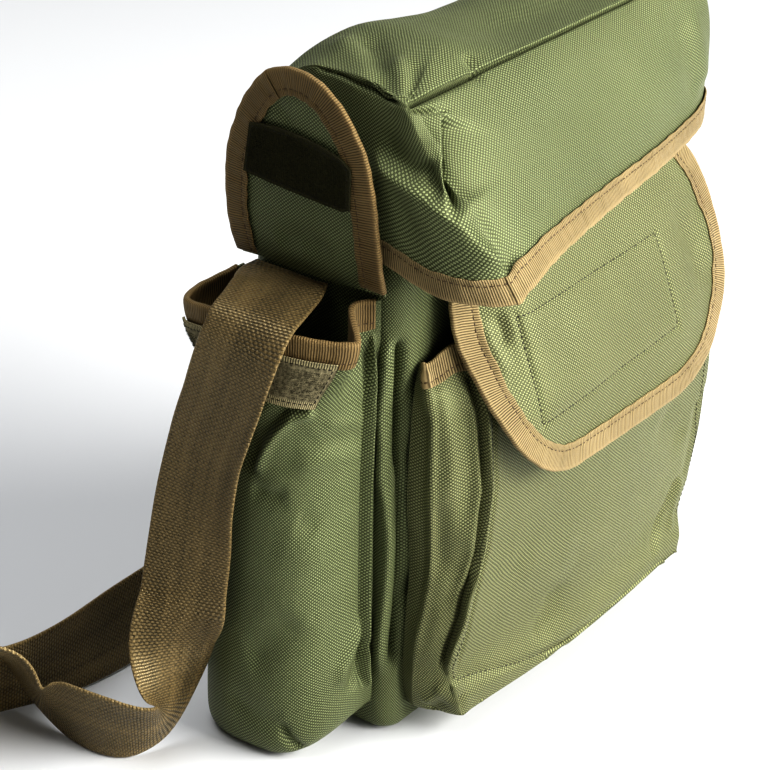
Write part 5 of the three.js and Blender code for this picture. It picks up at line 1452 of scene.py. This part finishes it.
loop_hairs = place(fuzz("side_pocket_loop_hairs", far_p, far_n, LOOP_TAPE, 260, 4.2, 0.17, 22, lean=0.9), "loop_tape")

# -------------------------------------------------------------- side flap ----
EAR_TURN = -1 if np.cross(ear_point(1.0, 300.0) - ear_point(-1.0, 300.0), ear_point(0.0, 301.0) - ear_point(0.0, 299.0))[0] > 0 else 1
ear_sheet = moved(ear_point, EAR_TURN, 0.8, 0.8, EAR_FOLDS)
ts = np.linspace(0, 1, 150)
ws = np.concatenate([spread((0, HEM_W, 44)), np.linspace(HEM_W, 1, 10)])
t, w = np.meshgrid(ts, ws)
a, b = ear_fan(t, w)
p = ear_sheet(a, b)
ear = cloth("side_flap_cloth", p, np.stack([a, b], -1), NYLON, turn=1)
place(ear, "nylon", "side_flap")


def ear_edge(t, d):
    a, b = ear_walk(t, d)
    return ear_sheet(a, b), normal_of(ear_sheet, a, b, 0.8, 0.8, EAR_TURN)


# Its tape is joined near the top, the rear end on top. Both lengths take the darker copy of the tape, painted shade for
# the side away from the window.
ear_binding, ear_line = binding("side_flap_binding_tape", ear_edge, np.linspace(0.385, 0.988, 170), BINDING_PAINTED_SHADE, 15, pucker=0.4)
place(ear_binding, "binding", "side_flap_binding")
ear_binding_rear, ear_line_rear = binding("side_flap_binding_tape_rear", ear_edge, np.linspace(0.012, 0.43, 120), BINDING_PAINTED_SHADE, 16, pucker=0.4, proud=0.7)
place(ear_binding_rear, "binding")
ear_stitch = place(stitches("side_flap_binding_stitches", [ear_line, ear_line_rear], THREAD_BROWN, seed=19), "binding")


def hook_sheet(u, v):
    y = mix(mix(HOOK["back_low"][0], HOOK["front_low"][0], u), mix(HOOK["back_top"][0], HOOK["front_top"][0], u), v)
    z = mix(mix(HOOK["back_low"][1], HOOK["front_low"][1], u), mix(HOOK["back_top"][1], HOOK["front_top"][1], u), v)
    z = z + v * (4.6 * 4 * u * (1 - u) - 2.2 * step(0.9, 1.0, u)) + (1 - v) * 1.6 * step(0.93, 1.0, u)
    return ear_sheet(y, z) + np.array([-2.6, 0, 0])


p = grid(hook_sheet, np.linspace(0, 1, 70), np.linspace(0, 1, 30))
uv = np.stack(np.broadcast_arrays(lengths(p, 1)[None, :], lengths(p, 0)[:, None]), -1)
hook = cloth("side_flap_hook_pile", p, uv, HOOK_TAPE, thick=1.4, turn=1)
place(hook, "hook_tape", "side_flap_hook_tape")
n = grid_normals(p, False, 1)
lines = []
for v in (0.07, 0.93):
    lines.append((hook_sheet(inset, v + 0 * inset), normal_of(hook_sheet, inset, v + 0 * inset, 0.01, 0.02, 1)))
for u in (0.03, 0.97):
    lines.append((hook_sheet(u + 0 * k, k), normal_of(hook_sheet, u + 0 * k, k, 0.01, 0.02, 1)))
hook_stitch = place(stitches("side_flap_hook_stitches", lines, THREAD_DARK, pitch=2.6, width=0.5, seed=20), "hook_tape")
core_p, core_n = p[2:-2, 2:-2].reshape(-1, 3), n[2:-2, 2:-2].reshape(-1, 3)
hook_fuzz = place(fuzz("side_flap_hook_fuzz", core_p, core_n, HOOK_TAPE, 5200, 1.3, 0.2, 23, lean=0.9), "hook_tape")

# --------------------------------------------------------- shoulder strap ----
t = np.linspace(0, 1, 40 * (len(STRAP) - 1) + 1)
mid = strap_frame(t)[0]
s = np.concatenate([[0], np.cumsum(np.linalg.norm(np.diff(mid, axis=0), axis=1))])
t = np.interp(np.linspace(0, s[-1], 521), s, t)
mid, tangent, e, n = strap_frame(t)


def eased(p, width):
    """A running mean along the strap, `width` stations wide on each side."""
    k = np.exp(-0.5 * (np.arange(-3 * width, 3 * width + 1) / width) ** 2)
    held = np.concatenate([np.repeat(p[:1], 3 * width, 0), p, np.repeat(p[-1:], 3 * width, 0)])
    return np.stack([np.convolve(held[:, i], k / k.sum(), "valid") for i in range(3)], 1)


# The webbing is stiff, so its free part turns and twists slowly.
at = t * (len(STRAP) - 1)
free = (step(11.5, 14.0, at) * (1 - step(len(STRAP) - 5.0, len(STRAP) - 3.0, at)))[:, None]
mid = mix(mid, eased(mid, 3), free)
e = mix(e, eased(eased(e, 5), 4), free)
tangent = unit(np.gradient(mid, axis=0))
e = unit(e - tangent * np.sum(e * tangent, 1, keepdims=True))
n = unit(np.cross(tangent, e))
s = np.concatenate([[0], np.cumsum(np.linalg.norm(np.diff(mid, axis=0), axis=1))])
half = STRAP_W / 2
across = np.array([-1, -0.985, -0.95, -0.9, -0.8, -0.6, -0.4, -0.2, 0, 0.2, 0.4, 0.6, 0.8, 0.9, 0.95, 0.985, 1.0])
thick = np.array([0.35, 0.75, 0.98, 1.0, 0.94, 0.9, 0.9, 0.9, 0.9, 0.9, 0.9, 0.9, 0.94, 1.0, 0.98, 0.75, 0.35]) * STRAP_T / 2
rng = np.random.default_rng(31)
cup = 0.35 * np.sin(2 * np.pi * s / 170 + 1.0)
sway = [0.25 * np.sin(2 * np.pi * s / l + rng.uniform(0, 6.28)) for l in (47.0, 71.0)]
rows = []
for a, h in zip(across, thick):
    arch = cup * (1 - a * a) + sway[0] * max(0, a) ** 2 + sway[1] * max(0, -a) ** 2
    rows.append(mid + e * a * half + n * (h + arch)[:, None])
for a, h in zip(across[::-1], thick[::-1]):
    arch = cup * (1 - a * a) + sway[0] * max(0, a) ** 2 + sway[1] * max(0, -a) ** 2
    rows.append(mid + e * a * half + n * (-h + arch)[:, None])
sections = np.stack(rows, 1)
sections[..., 2] += np.maximum(0, 0.1 - sections[..., 2].min(1))[:, None]
ua = np.concatenate([across, across[::-1], across[:1]]) * half
uv = np.stack(np.broadcast_arrays(ua[None, :], s[:, None]), -1)
strap = swept("shoulder_strap_webbing", sections, uv, WEBBING, flip=True)
place(strap, "webbing", "shoulder_strap")


# ------------------------------------------------------------------ stage ----
mesh = bpy.data.meshes.new("floor")
mesh.from_pydata([(-6, -6, -0.0004), (6, -6, -0.0004), (6, 6, -0.0004), (-6, 6, -0.0004)], [], [(0, 1, 2, 3)])
floor = bpy.data.objects.new("floor", mesh)
bpy.context.scene.collection.objects.link(floor)
paper = Nodes("floor_paper")
tone = paper.noise(paper.place, 3.0, 2.0)
mesh.materials.append(
    paper.finish(paper.mix(tone, (0.655, 0.665, 0.685, 1), (0.675, 0.685, 0.70, 1)), paper.span(tone, 0.3, 0.7, 0.6, 0.7), paper.bump(tone, 0.0001, 0.05), specular=0.2)
)

# ----------------------------------------------------------------- camera ----
AZIMUTH, ELEVATION, ROLL = math.radians(-53.7), math.radians(27.3), math.radians(1.1)
TARGET, DISTANCE = Vector((-0.1354, -0.0456, 0.2060)), 1.310
right = Vector((math.cos(AZIMUTH), math.sin(AZIMUTH), 0))
back = Vector((math.sin(AZIMUTH) * math.cos(ELEVATION), -math.cos(AZIMUTH) * math.cos(ELEVATION), math.sin(ELEVATION)))
up = back.cross(right)
r2 = right * math.cos(ROLL) + up * math.sin(ROLL)
u2 = up * math.cos(ROLL) - right * math.sin(ROLL)
lens = bpy.data.cameras.new("camera")
lens.sensor_fit = "HORIZONTAL"
lens.sensor_width = 36.0
lens.lens = 36.0 * 2769 / 770
lens.clip_start, lens.clip_end = 0.05, 30
camera = bpy.data.objects.new("camera", lens)
bpy.context.scene.collection.objects.link(camera)
spot = TARGET + back * DISTANCE
camera.matrix_world = Matrix(
    ((r2.x, u2.x, back.x, spot.x), (r2.y, u2.y, back.y, spot.y), (r2.z, u2.z, back.z, spot.z), (0, 0, 0, 1))
)
bpy.context.scene.camera = camera


# ----------------------------------------------------------------- lights ----
bpy.context.scene.view_settings.view_transform = "Standard"
bpy.context.scene.view_settings.look = "High Contrast"

def area_light(name, at, aim, size, power, colour=(1, 1, 1)):
    data = bpy.data.lights.new(name, "AREA")
    data.shape = "RECTANGLE"
    data.size, data.size_y = size
    data.energy = power
    data.color = colour
    obj = bpy.data.objects.new(name, data)
    bpy.context.scene.collection.objects.link(obj)
    obj.location = at
    obj.rotation_euler = (Vector(aim) - Vector(at)).to_track_quat("-Z", "Y").to_euler()
    return obj


area_light("window", (0.78, -2.31, 1.32), (0, 0, 0.16), (2.1, 1.6), KEY_POWER, (1.0, 0.985, 0.95))
area_light("fill", (-0.6, -2.4, 0.7), (0, 0, 0.16), (1.2, 1.0), FILL_POWER, (1.0, 0.99, 0.96))
area_light("overhead", (-0.4, 0.4, 2.0), (-0.1, 0, 0.1), (1.8, 1.4), TOP_POWER, (1.0, 1.0, 1.0))
world = bpy.data.worlds.new("studio")
world.use_nodes = True
tree = world.node_tree
sky = tree.nodes["Background"]
# The room is darker on the left.
where = tree.nodes.new("ShaderNodeTexCoord")
parts = tree.nodes.new("ShaderNodeSeparateXYZ")
tree.links.new(where.outputs["Generated"], parts.inputs[0])
ramp = tree.nodes.new("ShaderNodeMapRange")
tree.links.new(parts.outputs[0], ramp.inputs["Value"])
for name, number in (("From Min", -0.7), ("From Max", 0.5), ("To Min", SKY_LEFT), ("To Max", SKY_POWER)):
    ramp.inputs[name].default_value = number
sky.inputs["Color"].default_value = (0.97, 0.985, 1.0, 1)
tree.links.new(ramp.outputs["Result"], sky.inputs["Strength"])
bpy.context.scene.world = world

# ------------------------------------------------------------------- update ----
bpy.context.view_layer.update()
